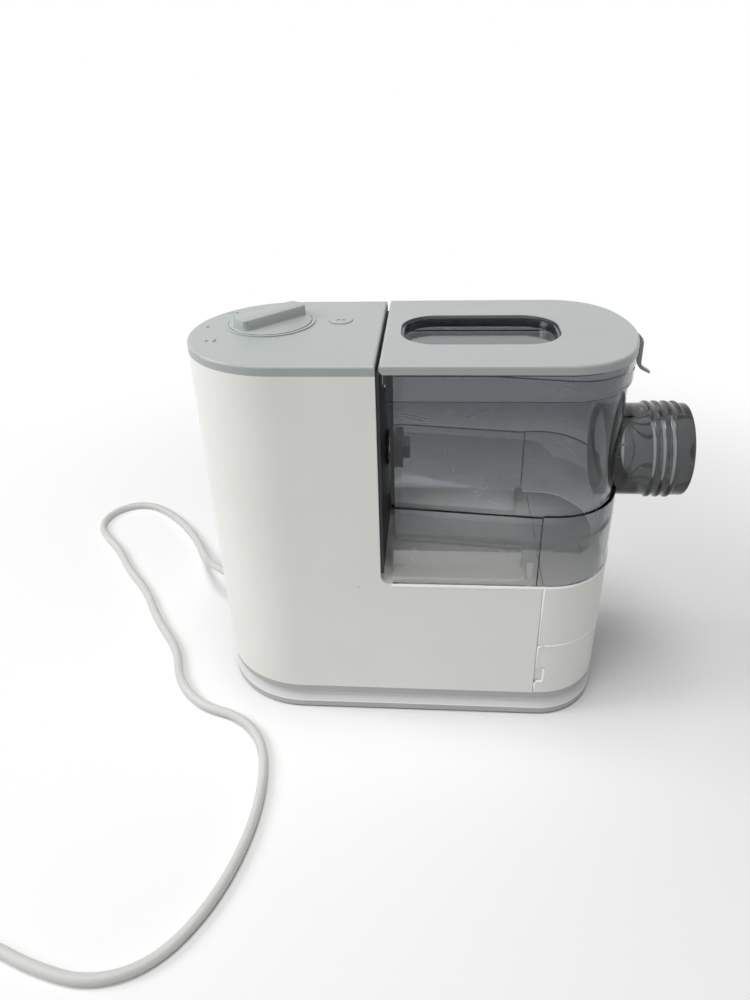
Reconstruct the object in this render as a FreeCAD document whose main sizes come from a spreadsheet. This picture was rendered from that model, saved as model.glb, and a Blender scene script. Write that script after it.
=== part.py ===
"""Compact countertop pasta maker: a white housing with a drive column, a smoky mixing chamber that
slides out of its bay, a grey hinged lid, a program dial, a storage drawer and a mains lead.

Every size below is in millimetres. X runs from the back of the drive column to the dough outlet,
Y is across the machine and Z is up from the table.
"""
import FreeCAD
import Part
import Sketcher
import math
import os
import re

V = FreeCAD.Vector

# Driving dimensions
SIZES = {
    # overall body, in plan
    "body_width": 135, "body_length": 302, "corner_radius": 47, "face_radius": 100, "wall": 2.5,
    "outlet_reach": 44, "seam_gap": 0.5,
    # levels of the body
    "base_lift": 1.5, "flange_top": 7, "slope_top": 14, "groove_top": 16.5, "housing_bottom": 23,
    "bay_floor": 124, "column_top": 282, "panel_top": 288.5,
    # base pan
    "slope_lean": 24.6, "groove_inset": 3.5, "tier_inset": 0.8, "base_floor": 3,
    # feet
    "foot_radius": 8, "foot_sunk": 2.5, "foot_back": 48, "foot_front": 258, "foot_side": 40,
    # housing parting lines
    "column_length": 132.7, "seam_back": 3.87, "bay_corner": 7, "edge_round": 1.0,
    # storage drawer
    "drawer_top": 70.7, "drawer_gap": 19.3, "tray_inset": 9, "tray_top": 64, "tray_wall": 2,
    "grip_low": 34, "grip_high": 49, "grip_long": 7, "grip_deep": 1.6,
    "rail_gap": 3.3, "rail_side": 40, "rail_wide": 10, "rail_play": 0.3,
    # bay furniture
    "bulkhead_thick": 2.2, "bulkhead_foot": 132, "pad_gap": 11, "pad_half": 60, "pad_thick": 2,
    "cradle_half": 45, "cradle_slot": 24, "cradle_top": 139, "cradle_play": 0.8,
    "post_gap": 8, "post_side": 52, "post_radius": 3, "post_tall": 13,
    # control panel
    "panel_skin": 2.5, "panel_round": 1.8, "dial_place": 53, "dial_side": 17.5, "dial_radius": 29.2,
    "ring_width": 2, "ring_play": 0.4, "ring_proud": 0.8, "dial_thick": 0.9, "bar_wide": 17,
    "bar_top": 297, "bar_turn": 46, "dial_lift": 0.4, "stem_radius": 4, "stem_end": 276.4,
    "turn_play": 0.05,
    "button_gap": 30.2, "button_side": 21, "button_radius": 8.2, "button_play": 0.3,
    "button_proud": 0.5, "button_foot": 279.5,
    "board_level": 270, "board_thick": 1.6, "board_back": 22, "board_gap": 6.2, "board_half": 44,
    "board_post": 3, "board_post_back": 32, "board_post_gap": 8, "board_post_side": 40,
    "switch_size": 26, "tact_size": 12, "tact_top": 277.4,
    # drive train, all axes in the middle plane
    "drive_level": 200, "gear_module": 1.5, "motor_teeth": 11, "lay_wheel_teeth": 51,
    "lay_pinion_teeth": 18, "drive_wheel_teeth": 72,
    "can_radius": 30, "can_bore": 24, "can_back": 18, "gear_room": 33.2, "plate_thick": 3,
    "plate_foot": 24, "plate_head": 62, "plate_half": 58, "spacer_radius": 5,
    "spacer_side": 49, "spacer_inset": 9, "spacer_drop": 10, "screw_radius": 4, "screw_head": 2.4,
    "motor_axle": 4, "rotor_radius": 22, "rotor_play": 4, "motor_bush": 7, "lay_axle": 4, "lay_bush": 7,
    "drive_axle": 6, "drive_bush": 10, "bush_play": 0.04, "wheel_width": 10, "mesh_gap": 2,
    "saddle_back": 32, "saddle_gap": 16, "saddle_half": 26, "saddle_drop": 16,
    "dog_radius": 9, "dog_gap": 10, "dog_long": 9, "wall_hole": 9, "seal_radius": 13,
    "seal_thick": 3.6,
    # mixing chamber
    "tub_gap": 5.9, "tub_inset": 3, "chamber_top": 282.7, "collar_bottom": 265, "collar_inset": 0.6,
    "collar_gap": 3.9, "chamber_lap": 0.3, "tub_drop": 10.626, "tub_corner": 50, "tub_floor_radius": 85,
    "tub_floor": 134, "bow_radius": 42, "bow_floor": 124.5, "skirt_play": 0.6, "skirt_split": 0.8,
    "skirt_back_top": 187.5, "skirt_front_top": 181, "apron_gap": 4.2, "apron_top": 182,
    "apron_inset": 0.5, "dog_hole": 15, "bush_lip": 3,
    # outlet
    "tube_radius": 33, "tube_bore": 29, "tube_sunk": 15, "thread_back": 27, "thread_pitch": 7,
    "thread_wide": 3, "thread_proud": 1.6, "thread_turns": 3, "tube_play": 0.15,
    # lid
    "lid_gap": 2.4, "lid_bottom": 283, "lid_top": 289, "lid_round": 1.8, "window_gap": 0.2,
    "window_land": 50, "window_half": 30, "window_corner": 24, "window_play": 0.2, "window_drop": 279.5,
    "window_rim": 287.4, "window_wall": 2, "seal_play": 0.3, "seal_wide": 2, "seal_deep": 2.7,
    "hinge_inset": 3.1, "hinge_level": 285.2, "hinge_side": 47, "hinge_pin": 1.1, "pin_long": 14,
    "ear_radius": 2.4, "ear_half": 3, "ear_foot": 268, "ear_play": 0.3, "pin_play": 0.06,
    "lid_heel": 2.2, "tab_half": 2.5, "tab_top": 286, "tab_out": 3, "tab_thick": 3,
    "tab_shoulder": 279.5, "tab_knee": 264, "tab_tip": 257.4, "tab_flare": 13.2, "tab_edge": 1.8,
    # mains lead
    "gland_turn": 145, "gland_level": 34, "gland_root": 7.5, "gland_tip": 5, "gland_long": 28,
    "lead_diameter": 7, "plug_long": 38, "plug_wide": 34, "plug_tall": 15, "plug_round": 5,
    "plug_pin": 2, "plug_pin_long": 19, "plug_pin_side": 9.5,
}

os.makedirs("parts", exist_ok=True)
doc = FreeCAD.newDocument("PastaMaker")
sheet = doc.addObject("Spreadsheet::Sheet", "size")
for row, (alias, amount) in enumerate(SIZES.items(), 1):
    sheet.set(f"A{row}", alias)
    sheet.set(f"B{row}", str(amount))
    sheet.setAlias(f"B{row}", alias)
doc.recompute()

subparts = []


def bound(text):
    """Writes the sheet's name in front of every size that an expression names."""
    return re.sub(r"[a-z_]+", lambda word: f"size.{word[0]}" if word[0] in SIZES else word[0], text)


def number(text):
    """The present value of an expression of sizes."""
    found = sheet.evalExpression(bound(text))
    return float(getattr(found, "Value", found))


# The machine's origin is below the middle of its whole length, outlet included.
MIDDLE = "- ( body_length + outlet_reach ) / 2"
HALF = "body_width / 2"

# Places that follow the column's front face
RAIL_START = "( column_length + rail_gap )"
DRAWER_BACK = "( column_length + drawer_gap )"
LID_BACK = "( column_length + lid_gap )"
HINGE_PLACE = f"( {LID_BACK} + hinge_inset )"
COLLAR_BACK = f"( {LID_BACK} + collar_gap )"
TUB_BACK = f"( {LID_BACK} + tub_gap )"
WINDOW_BACK = f"( {TUB_BACK} + wall + seal_play + seal_wide + window_gap )"
DOG_START = "( column_length + dog_gap )"
DOG_END = f"( {DOG_START} + dog_long )"
BUTTON_PLACE = "( column_length - button_gap )"
BOARD_FRONT = "( column_length - wall - board_gap )"
BOARD_POST_FRONT = f"( {BOARD_FRONT} - board_post_gap )"
CAN_FRONT = "( column_length - wall - plate_thick - gear_room )"
SADDLE_FRONT = f"( {CAN_FRONT} - saddle_gap )"

# Places that follow the rounded front end and the outlet
FLAT_RISE = f"( {HALF} - corner_radius )"
CURVE_START = f"( body_length - face_radius + sqrt(( face_radius - corner_radius )^2 - {FLAT_RISE}^2) )"
NOSE_START = f"( {CURVE_START} - seam_back )"
APRON_START = f"( {NOSE_START} - apron_gap )"
SKIRT_END = f"( {APRON_START} - skirt_split )"
PAD_END = f"( {NOSE_START} - pad_gap )"
POST_PLACE = f"( {NOSE_START} - post_gap )"
TUB_SLOPE = f"( tub_drop / ( body_length - {TUB_BACK} ) )"
WINDOW_FRONT = "( body_length - window_land )"
TUBE_START = "( body_length - tube_sunk )"
THREAD_START = "( body_length + outlet_reach - thread_back )"

# Levels that follow the drive axis
LAY_LEVEL = "( drive_level - gear_module * ( lay_pinion_teeth + drive_wheel_teeth ) / 2 )"
MOTOR_LEVEL = f"( {LAY_LEVEL} - gear_module * ( motor_teeth + lay_wheel_teeth ) / 2 )"
SADDLE_TOP = f"( {MOTOR_LEVEL} - saddle_drop )"
PLATE_LOW = f"( {MOTOR_LEVEL} - plate_foot )"
PLATE_HIGH = "( drive_level + plate_head )"
SPACER_LOW = f"( {PLATE_LOW} + spacer_inset )"
SPACER_HIGH = f"( {PLATE_HIGH} - spacer_drop )"


def subpart(label, made):
    """Names a finished piece and moves it from the back end's frame to the machine's."""
    if made.TypeId in ("Part::Cylinder", "Part::Box", "Part::Cone"):
        made = group([made])
    made.Label = label
    made.setExpression("Placement.Base.x", bound(MIDDLE))
    subparts.append(made)
    return made


def new_body(label):
    return doc.addObject("PartDesign::Body", label)


# Sketch outlines
def drive(sketch, kind, *where, to):
    """Adds one driving dimension to a sketch, bound to the sheet."""
    index = sketch.addConstraint(Sketcher.Constraint(kind, *where, number(to)))
    sketch.setExpression(f"Constraints[{index}]", bound(to))


def tie(sketch, kind, *where):
    sketch.addConstraint(Sketcher.Constraint(kind, *where))


def polygon(sketch, *corners):
    """A closed outline of straight edges through corners given as pairs of expressions."""
    points = [V(number(x), number(y), 0) for x, y in corners]
    count = len(points)
    for at in range(count):
        sketch.addGeometry(Part.LineSegment(points[at], points[(at + 1) % count]))
    for at in range(count):
        tie(sketch, "Coincident", at, 2, (at + 1) % count, 1)
    for at, (x, y) in enumerate(corners):
        drive(sketch, "DistanceX", -1, 1, at, 1, to=x)
        drive(sketch, "DistanceY", -1, 1, at, 1, to=y)


def rectangle(sketch, left, right, low, high):
    polygon(sketch, (left, low), (right, low), (right, high), (left, high))


def circles(sketch, radius, *centres):
    for x, y in centres:
        at = sketch.addGeometry(Part.Circle(V(number(x), number(y), 0), V(0, 0, 1), number(radius)))
        drive(sketch, "DistanceX", -1, 1, at, 3, to=x)
        drive(sketch, "DistanceY", -1, 1, at, 3, to=y)
        drive(sketch, "Radius", at, to=radius)


def arc(centre, radius, start, end):
    """A counter-clockwise arc between two angles in radians."""
    return Part.ArcOfCircle(Part.Circle(centre, V(0, 0, 1), radius), start, end)


def nose_arcs(length, half, corner, face, inset):
    """The three tangent arcs that round the far end of an outline, from its right side to its left."""
    rise = number(half) - number(corner)
    reach = number(face) - number(corner)
    front = V(number(length) - number(face), 0, 0)
    run = math.sqrt(reach ** 2 - rise ** 2)
    lean = math.atan2(rise, run)
    small = number(corner) - number(inset)
    right = arc(front + V(run, -rise, 0), small, -math.pi / 2, -lean)
    middle = arc(front, number(face) - number(inset), -lean, lean)
    left = arc(front + V(run, rise, 0), small, lean, math.pi / 2)
    return right, middle, left


def round_nose(sketch, start, length, half, corner, face, inset):
    """A straight back edge at start, two parallel sides and a rounded far end."""
    right, middle, left = nose_arcs(length, half, corner, face, inset)
    back, side = number(start), number(half) - number(inset)
    sketch.addGeometry(Part.LineSegment(V(back, -side, 0), right.StartPoint))
    for piece in (right, middle, left):
        sketch.addGeometry(piece)
    sketch.addGeometry(Part.LineSegment(left.EndPoint, V(back, side, 0)))
    sketch.addGeometry(Part.LineSegment(V(back, side, 0), V(back, -side, 0)))
    for at in range(4):
        tie(sketch, "Tangent", at, 2, at + 1, 1)
    tie(sketch, "Coincident", 4, 2, 5, 1)
    tie(sketch, "Coincident", 5, 2, 0, 1)
    tie(sketch, "Horizontal", 0)
    tie(sketch, "Horizontal", 4)
    tie(sketch, "Symmetric", 0, 1, 4, 2, -1)
    tie(sketch, "PointOnObject", 2, 3, -1)
    tie(sketch, "Equal", 1, 3)
    drive(sketch, "Radius", 1, to=f"{corner} - ( {inset} )")
    drive(sketch, "Radius", 2, to=f"{face} - ( {inset} )")
    drive(sketch, "DistanceX", -1, 1, 2, 3, to=f"{length} - {face}")
    drive(sketch, "DistanceX", -1, 1, 0, 1, to=start)
    drive(sketch, "DistanceY", -1, 1, 4, 2, to=f"{half} - ( {inset} )")


def rounded_box(sketch, back, front, half, corner):
    """A rectangle across the middle plane with four equal round corners."""
    x0, x1, y1, r = (number(each) for each in (back, front, half, corner))
    turns = ((V(x1 - r, r - y1, 0), -90), (V(x1 - r, y1 - r, 0), 0), (V(x0 + r, y1 - r, 0), 90),
        (V(x0 + r, r - y1, 0), 180))
    arcs = [arc(centre, r, math.radians(start), math.radians(start + 90)) for centre, start in turns]
    for at in range(4):
        sketch.addGeometry(arcs[at])
        sketch.addGeometry(Part.LineSegment(arcs[at].EndPoint, arcs[(at + 1) % 4].StartPoint))
    for at in range(8):
        tie(sketch, "Tangent", at, 2, (at + 1) % 8, 1)
    for at in (2, 4, 6):
        tie(sketch, "Equal", 0, at)
    for line, kind in ((1, "Vertical"), (3, "Horizontal"), (5, "Vertical"), (7, "Horizontal")):
        tie(sketch, kind, line)
    drive(sketch, "Radius", 0, to=corner)
    drive(sketch, "DistanceX", -1, 1, 5, 1, to=back)
    drive(sketch, "DistanceX", -1, 1, 1, 1, to=front)
    drive(sketch, "DistanceY", -1, 1, 3, 1, to=half)
    drive(sketch, "DistanceY", -1, 1, 7, 1, to=f"- ( {half} )")


def front_end(sketch, start, inset):
    """The body's plan from a cut at start to its rounded front."""
    round_nose(sketch, start, "body_length", HALF, "corner_radius", "face_radius", inset)


def back_end(sketch, end, inset):
    """The body's plan from its half-round back to a straight cut."""
    centre, radius, stop = number(HALF), number(HALF) - number(inset), number(end)
    sketch.addGeometry(arc(V(centre, 0, 0), radius, math.pi / 2, 3 * math.pi / 2))
    sketch.addGeometry(Part.LineSegment(V(centre, -radius, 0), V(stop, -radius, 0)))
    sketch.addGeometry(Part.LineSegment(V(stop, -radius, 0), V(stop, radius, 0)))
    sketch.addGeometry(Part.LineSegment(V(stop, radius, 0), V(centre, radius, 0)))
    tie(sketch, "Tangent", 0, 2, 1, 1)
    tie(sketch, "Coincident", 1, 2, 2, 1)
    tie(sketch, "Coincident", 2, 2, 3, 1)
    tie(sketch, "Tangent", 3, 2, 0, 1)
    tie(sketch, "Horizontal", 1)
    tie(sketch, "Horizontal", 3)
    tie(sketch, "Vertical", 2)
    tie(sketch, "PointOnObject", 0, 3, -1)
    drive(sketch, "Radius", 0, to=f"{HALF} - ( {inset} )")
    drive(sketch, "DistanceX", -1, 1, 0, 3, to=HALF)
    drive(sketch, "DistanceX", -1, 1, 1, 2, to=end)


def whole_plan(sketch, inset):
    """The body's whole plan: half-round back, parallel sides and rounded front."""
    right, middle, left = nose_arcs("body_length", HALF, "corner_radius", "face_radius", inset)
    centre, radius = number(HALF), number(HALF) - number(inset)
    sketch.addGeometry(arc(V(centre, 0, 0), radius, math.pi / 2, 3 * math.pi / 2))
    sketch.addGeometry(Part.LineSegment(V(centre, -radius, 0), right.StartPoint))
    for piece in (right, middle, left):
        sketch.addGeometry(piece)
    sketch.addGeometry(Part.LineSegment(left.EndPoint, V(centre, radius, 0)))
    for at in range(6):
        tie(sketch, "Tangent", at, 2, (at + 1) % 6, 1)
    tie(sketch, "Horizontal", 1)
    tie(sketch, "Horizontal", 5)
    tie(sketch, "PointOnObject", 0, 3, -1)
    tie(sketch, "PointOnObject", 3, 3, -1)
    tie(sketch, "Equal", 2, 4)
    drive(sketch, "Radius", 0, to=f"{HALF} - ( {inset} )")
    drive(sketch, "Radius", 2, to=f"corner_radius - ( {inset} )")
    drive(sketch, "Radius", 3, to=f"face_radius - ( {inset} )")
    drive(sketch, "DistanceX", -1, 1, 0, 3, to=HALF)
    drive(sketch, "DistanceX", -1, 1, 3, 3, to="body_length - face_radius")


# Features of a body. A plane's normal is +Z, +X and, for the upright plane along X, -Y.
NORMAL = {"XY_Plane": 1, "YZ_Plane": 1, "XZ_Plane": -1}


def feature(body, kind, role, start, reach, outline, sizes):
    plane = next(each for each in body.Origin.OriginFeatures if each.Role == role)
    sketch = body.newObject("Sketcher::SketchObject", "Outline")
    sketch.AttachmentSupport = [(plane, "")]
    sketch.MapMode = "FlatFace"
    sketch.setExpression("AttachmentOffset.Base.z", bound(f"{NORMAL[role]} * ( {start} )"))
    outline(sketch, *sizes)
    made = body.newObject(kind, kind.split("::")[1])
    made.Profile = sketch
    made.setExpression("Length", bound(reach))
    return made


def add(body, role, low, high, outline, *sizes):
    """Adds the outline's prism between two places on the plane's axis."""
    start = low if NORMAL[role] > 0 else high
    return feature(body, "PartDesign::Pad", role, start, f"( {high} ) - ( {low} )", outline, sizes)


def cut(body, role, low, high, outline, *sizes):
    """Removes the outline's prism between two places on the plane's axis."""
    start = high if NORMAL[role] > 0 else low
    return feature(body, "PartDesign::Pocket", role, start, f"( {high} ) - ( {low} )", outline, sizes)


def soften(body, radius, chosen):
    """Rounds the edges of the body so far that the test chooses."""
    doc.recompute()
    base = body.Tip
    names = [f"Edge{at}" for at, edge in enumerate(base.Shape.Edges, 1) if chosen(edge)]
    fillet = body.newObject("PartDesign::Fillet", "Fillet")
    fillet.Base = (base, names)
    fillet.setExpression("Radius", bound(radius))


def level_edge(level):
    """Chooses the edges that lie at one height."""
    height = number(level)
    return lambda edge: edge.BoundBox.ZLength < 0.01 and abs(edge.BoundBox.ZMin - height) < 0.01


def upright_corner(x, y):
    """Chooses the upright edges at a place and at its mirror image across the middle plane."""
    across, side = number(x), number(y)

    def chosen(edge):
        box = edge.BoundBox
        upright = box.XLength < 0.01 and box.YLength < 0.01
        return upright and abs(box.XMin - across) < 0.01 and abs(abs(box.YMin) - side) < 0.01

    return chosen


# Simple solids
AXES = {"X": FreeCAD.Rotation(V(0, 1, 0), 90), "Y": FreeCAD.Rotation(V(1, 0, 0), -90),
    "Z": FreeCAD.Rotation()}


def place(made, x, y, z, turn=FreeCAD.Rotation()):
    made.Placement = FreeCAD.Placement(V(), turn)
    for axis, where in zip("xyz", (x, y, z)):
        made.setExpression(f"Placement.Base.{axis}", bound(where))
    return made


def rod(axis, x, y, z, radius, reach):
    """A cylinder that starts at a point and runs along an axis."""
    made = doc.addObject("Part::Cylinder", "Rod")
    made.setExpression("Radius", bound(radius))
    made.setExpression("Height", bound(reach))
    return place(made, x, y, z, AXES[axis])


def block(left, right, near, far, low, high):
    made = doc.addObject("Part::Box", "Block")
    made.setExpression("Length", bound(f"( {right} ) - ( {left} )"))
    made.setExpression("Width", bound(f"( {far} ) - ( {near} )"))
    made.setExpression("Height", bound(f"( {high} ) - ( {low} )"))
    return place(made, left, near, low)


def joined(kind, first, second):
    made = doc.addObject(kind, kind.split("::")[1])
    made.Base = first
    made.Tool = second
    return made


def ring(axis, x, y, z, radius, bore, reach):
    return joined("Part::Cut", rod(axis, x, y, z, radius, reach), rod(axis, x, y, z, bore, reach))


def group(members):
    made = doc.addObject("Part::Compound", "Group")
    made.Links = members
    return made


def fused(members):
    made = doc.addObject("Part::MultiFuse", "Fusion")
    made.Shapes = members
    return made


# Base pan: a grey tray with a flange that slopes up to a shadow groove, and an upper tier
base_pan = subpart("base_pan", new_body("base_pan"))
add(base_pan, "XY_Plane", "base_lift", "flange_top", whole_plan, "0")
slope = add(base_pan, "XY_Plane", "flange_top", "slope_top", whole_plan, "0")
slope.setExpression("TaperAngle", bound("- slope_lean"))
add(base_pan, "XY_Plane", "flange_top", "groove_top", whole_plan, "groove_inset")
add(base_pan, "XY_Plane", "groove_top", "housing_bottom", whole_plan, "tier_inset")
cut(base_pan, "XY_Plane", "base_lift + base_floor", "housing_bottom", whole_plan, "groove_inset + wall")
FEET = [(x, y) for x in ("foot_back", "foot_front") for y in ("foot_side", "- foot_side")]
cut(base_pan, "XY_Plane", "base_lift", "base_lift + foot_sunk", circles, "foot_radius", *FEET)
soften(base_pan, "edge_round", level_edge("flange_top"))

# Rubber feet, sunk into the base pan
subpart("rubber_feet", group([rod("Z", x, y, "0", "foot_radius", "base_lift + foot_sunk")
    for x, y in FEET]))

# Housing shell: the white column and the lower body under the bay
housing = new_body("housing_body")
add(housing, "XY_Plane", "housing_bottom", "column_top", back_end, "column_length", "0")
add(housing, "XY_Plane", "housing_bottom", "bay_floor", rectangle, HALF, NOSE_START, f"- {HALF}", HALF)
soften(housing, "bay_corner", lambda edge: edge.BoundBox.YLength > number(HALF)
    and level_edge("bay_floor")(edge) and abs(edge.BoundBox.XMin - number("column_length")) < 0.01)
cut(housing, "XY_Plane", "housing_bottom", "column_top", back_end, "column_length - wall", "wall")
cut(housing, "XY_Plane", "housing_bottom", "bay_floor - wall", rectangle, "column_length", NOSE_START,
    f"wall - {HALF}", f"{HALF} - wall")
cut(housing, "YZ_Plane", "column_length - 2 * wall", "column_length + wall", circles, "wall_hole",
    ("0", "drive_level"))
GLAND_X = "body_width / 2 * ( 1 + cos(gland_turn) )"
GLAND_Y = "body_width / 2 * sin(gland_turn)"
GLAND_TURN = FreeCAD.Rotation(V(0, 0, 1), number("gland_turn")) * FreeCAD.Rotation(V(0, 1, 0), 90)
gland_hole = doc.addObject("Part::Cylinder", "GlandHole")
gland_hole.setExpression("Radius", bound("gland_root"))
gland_hole.setExpression("Height", bound("8 * wall"))
place(gland_hole, f"{GLAND_X} - 4 * wall * cos(gland_turn)", f"{GLAND_Y} - 4 * wall * sin(gland_turn)",
    "gland_level", GLAND_TURN)
subpart("housing_shell", joined("Part::Cut", housing, gland_hole))

# Nose cover: the white front of the bay, above the drawer
nose_cover = subpart("nose_cover", new_body("nose_cover"))
add(nose_cover, "XY_Plane", "drawer_top + seam_gap", "bay_floor", front_end, f"{NOSE_START} + seam_gap",
    "0")
soften(nose_cover, "edge_round", level_edge("bay_floor"))
cut(nose_cover, "XY_Plane", "drawer_top + seam_gap", "bay_floor - wall", front_end, NOSE_START, "wall")

# Storage drawer: a white front that wraps round the nose, and its tray
drawer_front = subpart("drawer_front", new_body("drawer_front"))
add(drawer_front, "XY_Plane", "housing_bottom + seam_gap", "drawer_top", front_end,
    f"{NOSE_START} + seam_gap", "0")
cut(drawer_front, "XY_Plane", "housing_bottom + seam_gap + wall", "drawer_top", front_end, NOSE_START,
    "wall")
for near, far in ((f"- {HALF}", f"grip_deep - {HALF}"), (f"{HALF} - grip_deep", HALF)):
    cut(drawer_front, "XZ_Plane", near, far, rectangle, NOSE_START,
        f"{NOSE_START} + seam_gap + grip_long", "grip_low", "grip_high")
drawer_tray = subpart("drawer_tray", new_body("drawer_tray"))
TRAY_FLOOR = "housing_bottom + seam_gap + wall"
add(drawer_tray, "XY_Plane", TRAY_FLOOR, "tray_top", front_end, DRAWER_BACK, "tray_inset")
cut(drawer_tray, "XY_Plane", f"{TRAY_FLOOR} + tray_wall", "tray_top", front_end,
    f"{DRAWER_BACK} + tray_wall", "tray_inset + tray_wall")
subpart("drawer_rails", group([block(RAIL_START, NOSE_START, f"{side} * rail_side - rail_wide / 2",
    f"{side} * rail_side + rail_wide / 2", "base_lift + base_floor", f"{TRAY_FLOOR} - rail_play")
    for side in (-1, 1)]))

# Bay furniture: dark bulkhead, raised pad, cradle rails under the tub and two locating posts
bulkhead = subpart("bulkhead", new_body("bulkhead"))
add(bulkhead, "YZ_Plane", "column_length", "column_length + bulkhead_thick", rectangle, f"wall - {HALF}",
    f"{HALF} - wall", "bulkhead_foot", "column_top - seam_gap")
cut(bulkhead, "YZ_Plane", "column_length", "column_length + bulkhead_thick", circles, "seal_radius",
    ("0", "drive_level"))
bay_pad = subpart("bay_pad", new_body("bay_pad"))
add(bay_pad, "XY_Plane", "bay_floor", "bay_floor + pad_thick", rectangle,
    "column_length + bay_corner + seam_gap", PAD_END, "- pad_half", "pad_half")
soften(bay_pad, "bay_corner", upright_corner(PAD_END, "pad_half"))
soften(bay_pad, "edge_round", level_edge("bay_floor + pad_thick"))

# Mixing chamber, in smoky clear plastic: a round-bottomed tub that slopes to the front
DOWN = FreeCAD.Rotation(V(0, 1, 0), 90)
UPRIGHT = FreeCAD.Rotation(V(1, 0, 0), 90)


def swept(outline, sizes, x, y, z, turn, way, reach):
    """A sketch of its own, placed in space and swept straight along a direction."""
    sketch = doc.addObject("Sketcher::SketchObject", "Section")
    place(sketch, x, y, z, turn)
    outline(sketch, *sizes)
    made = doc.addObject("Part::Extrusion", "Sweep")
    made.Base = sketch
    made.DirMode = "Custom"
    made.Dir = way
    made.Solid = True
    made.setExpression("LengthFwd", bound(reach))
    return made


def trough(skin, top):
    """The tub's round-bottomed cross section, swept down the slope past both of its ends."""
    return swept(round_nose, ("- wall", f"{top} - tub_floor", f"{HALF} - tub_inset", "tub_corner",
        "tub_floor_radius", skin), TUB_BACK, "0", top, DOWN, V(1, 0, -number(TUB_SLOPE)),
        f"body_length - {TUB_BACK} + wall")


def tub_form(skin, top):
    """The tub's outer form, or with a skin taken off all round, the space inside it."""
    plan = new_body("tub_plan")
    floor = f"bow_floor + {skin}"
    add(plan, "XY_Plane", floor, top, front_end, f"{TUB_BACK} + {skin}", f"tub_inset + {skin}")
    soften(plan, f"bow_radius - {skin}", lambda edge: level_edge(floor)(edge)
        and edge.BoundBox.XMax > number(CURVE_START))
    return joined("Part::Common", plan, trough(skin, top))


tub = joined("Part::Cut", tub_form("0", "chamber_top"), tub_form("wall", "chamber_top + wall"))
collar = new_body("collar_body")
add(collar, "XY_Plane", "collar_bottom", "chamber_top", front_end, COLLAR_BACK, "collar_inset")
soften(collar, "edge_round", level_edge("collar_bottom"))
cut(collar, "XY_Plane", "collar_bottom", "chamber_top", front_end, f"{TUB_BACK} + chamber_lap",
    "tub_inset + chamber_lap")
SKIRT_FOOT = "bay_floor + skirt_play"
SKIRT_SKIN = "tub_inset - apron_inset + chamber_lap"


def skirt(far):
    """A flat side plate that stands the tub's side on the bay floor."""
    corners = ((TUB_BACK, SKIRT_FOOT), (SKIRT_END, SKIRT_FOOT), (SKIRT_END, "skirt_front_top"),
        (TUB_BACK, "skirt_back_top"))
    return swept(polygon, corners, "0", far, "0", UPRIGHT, V(0, -1, 0), SKIRT_SKIN)


apron = new_body("apron_body")
add(apron, "XY_Plane", SKIRT_FOOT, "apron_top", front_end, APRON_START, "apron_inset")
cut(apron, "XY_Plane", SKIRT_FOOT, "apron_top", front_end, f"{APRON_START} - wall",
    f"apron_inset + {SKIRT_SKIN}")


def ear(side):
    """One hinge ear on the collar's back edge, rounded about the hinge axis."""
    near, far = f"{side} * hinge_side - ear_half", f"{side} * hinge_side + ear_half"
    post = block(f"{HINGE_PLACE} - ear_radius", f"{HINGE_PLACE} + ear_radius", near, far, "ear_foot",
        "hinge_level")
    foot = block(f"{HINGE_PLACE} - ear_radius", f"{TUB_BACK} + wall / 2", near, far, "ear_foot",
        "lid_bottom - wall")
    top = rod("Y", HINGE_PLACE, near, "hinge_level", "ear_radius", "2 * ear_half")
    return [post, foot, top]


chamber_solid = fused([tub, collar, apron, skirt(f"{HALF} - apron_inset"),
    skirt(f"apron_inset + {SKIRT_SKIN} - {HALF}")] + ear(-1) + ear(1))
tube_hole = rod("X", f"{TUBE_START} - tube_radius", "0", "drive_level", "tube_radius + tube_play",
    "body_length")
dog_hole = rod("X", "column_length", "0", "drive_level", "dog_hole",
    f"{TUB_BACK} + 2 * wall - column_length")
pin_holes = rod("Y", HINGE_PLACE, f"- {HALF}", "hinge_level", "hinge_pin + pin_play", "body_width")
chamber_holes = fused([tube_hole, dog_hole, pin_holes])
subpart("mixing_chamber", joined("Part::Cut", chamber_solid, chamber_holes))

subpart("chamber_bush", ring("X", TUB_BACK, "0", "drive_level", "dog_hole", "dog_radius + bush_lip",
    "wall + bush_lip"))

# Cradle rails under the tub, hollowed to its slope, and two locating posts
CRADLE_BACK = "column_length + bay_corner + 2 * seam_gap"
rails = [block(CRADLE_BACK, f"{PAD_END} - post_radius", near, far, "bay_floor + pad_thick", "cradle_top")
    for near, far in (("- cradle_half", "- cradle_slot"), ("cradle_slot", "cradle_half"))]
subpart("cradle_rails", joined("Part::Cut", group(rails), trough("(0 - cradle_play)", "chamber_top")))
subpart("locating_posts", group([rod("Z", POST_PLACE, f"{side} * post_side", "bay_floor", "post_radius",
    "post_tall") for side in (-1, 1)]))

# Outlet tube, with the turns of its outer thread as ridges
TUBE_END = "body_length + outlet_reach"
outlet_tube = subpart("outlet_tube", new_body("outlet_tube"))
add(outlet_tube, "YZ_Plane", TUBE_START, TUBE_END, circles, "tube_radius", ("0", "drive_level"))
for turn in range(int(SIZES["thread_turns"])):
    start = f"{THREAD_START} + {turn} * thread_pitch"
    add(outlet_tube, "YZ_Plane", start, f"{start} + thread_wide", circles, "tube_radius + thread_proud",
        ("0", "drive_level"))
cut(outlet_tube, "YZ_Plane", TUBE_START, TUBE_END, circles, "tube_bore", ("0", "drive_level"))

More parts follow.
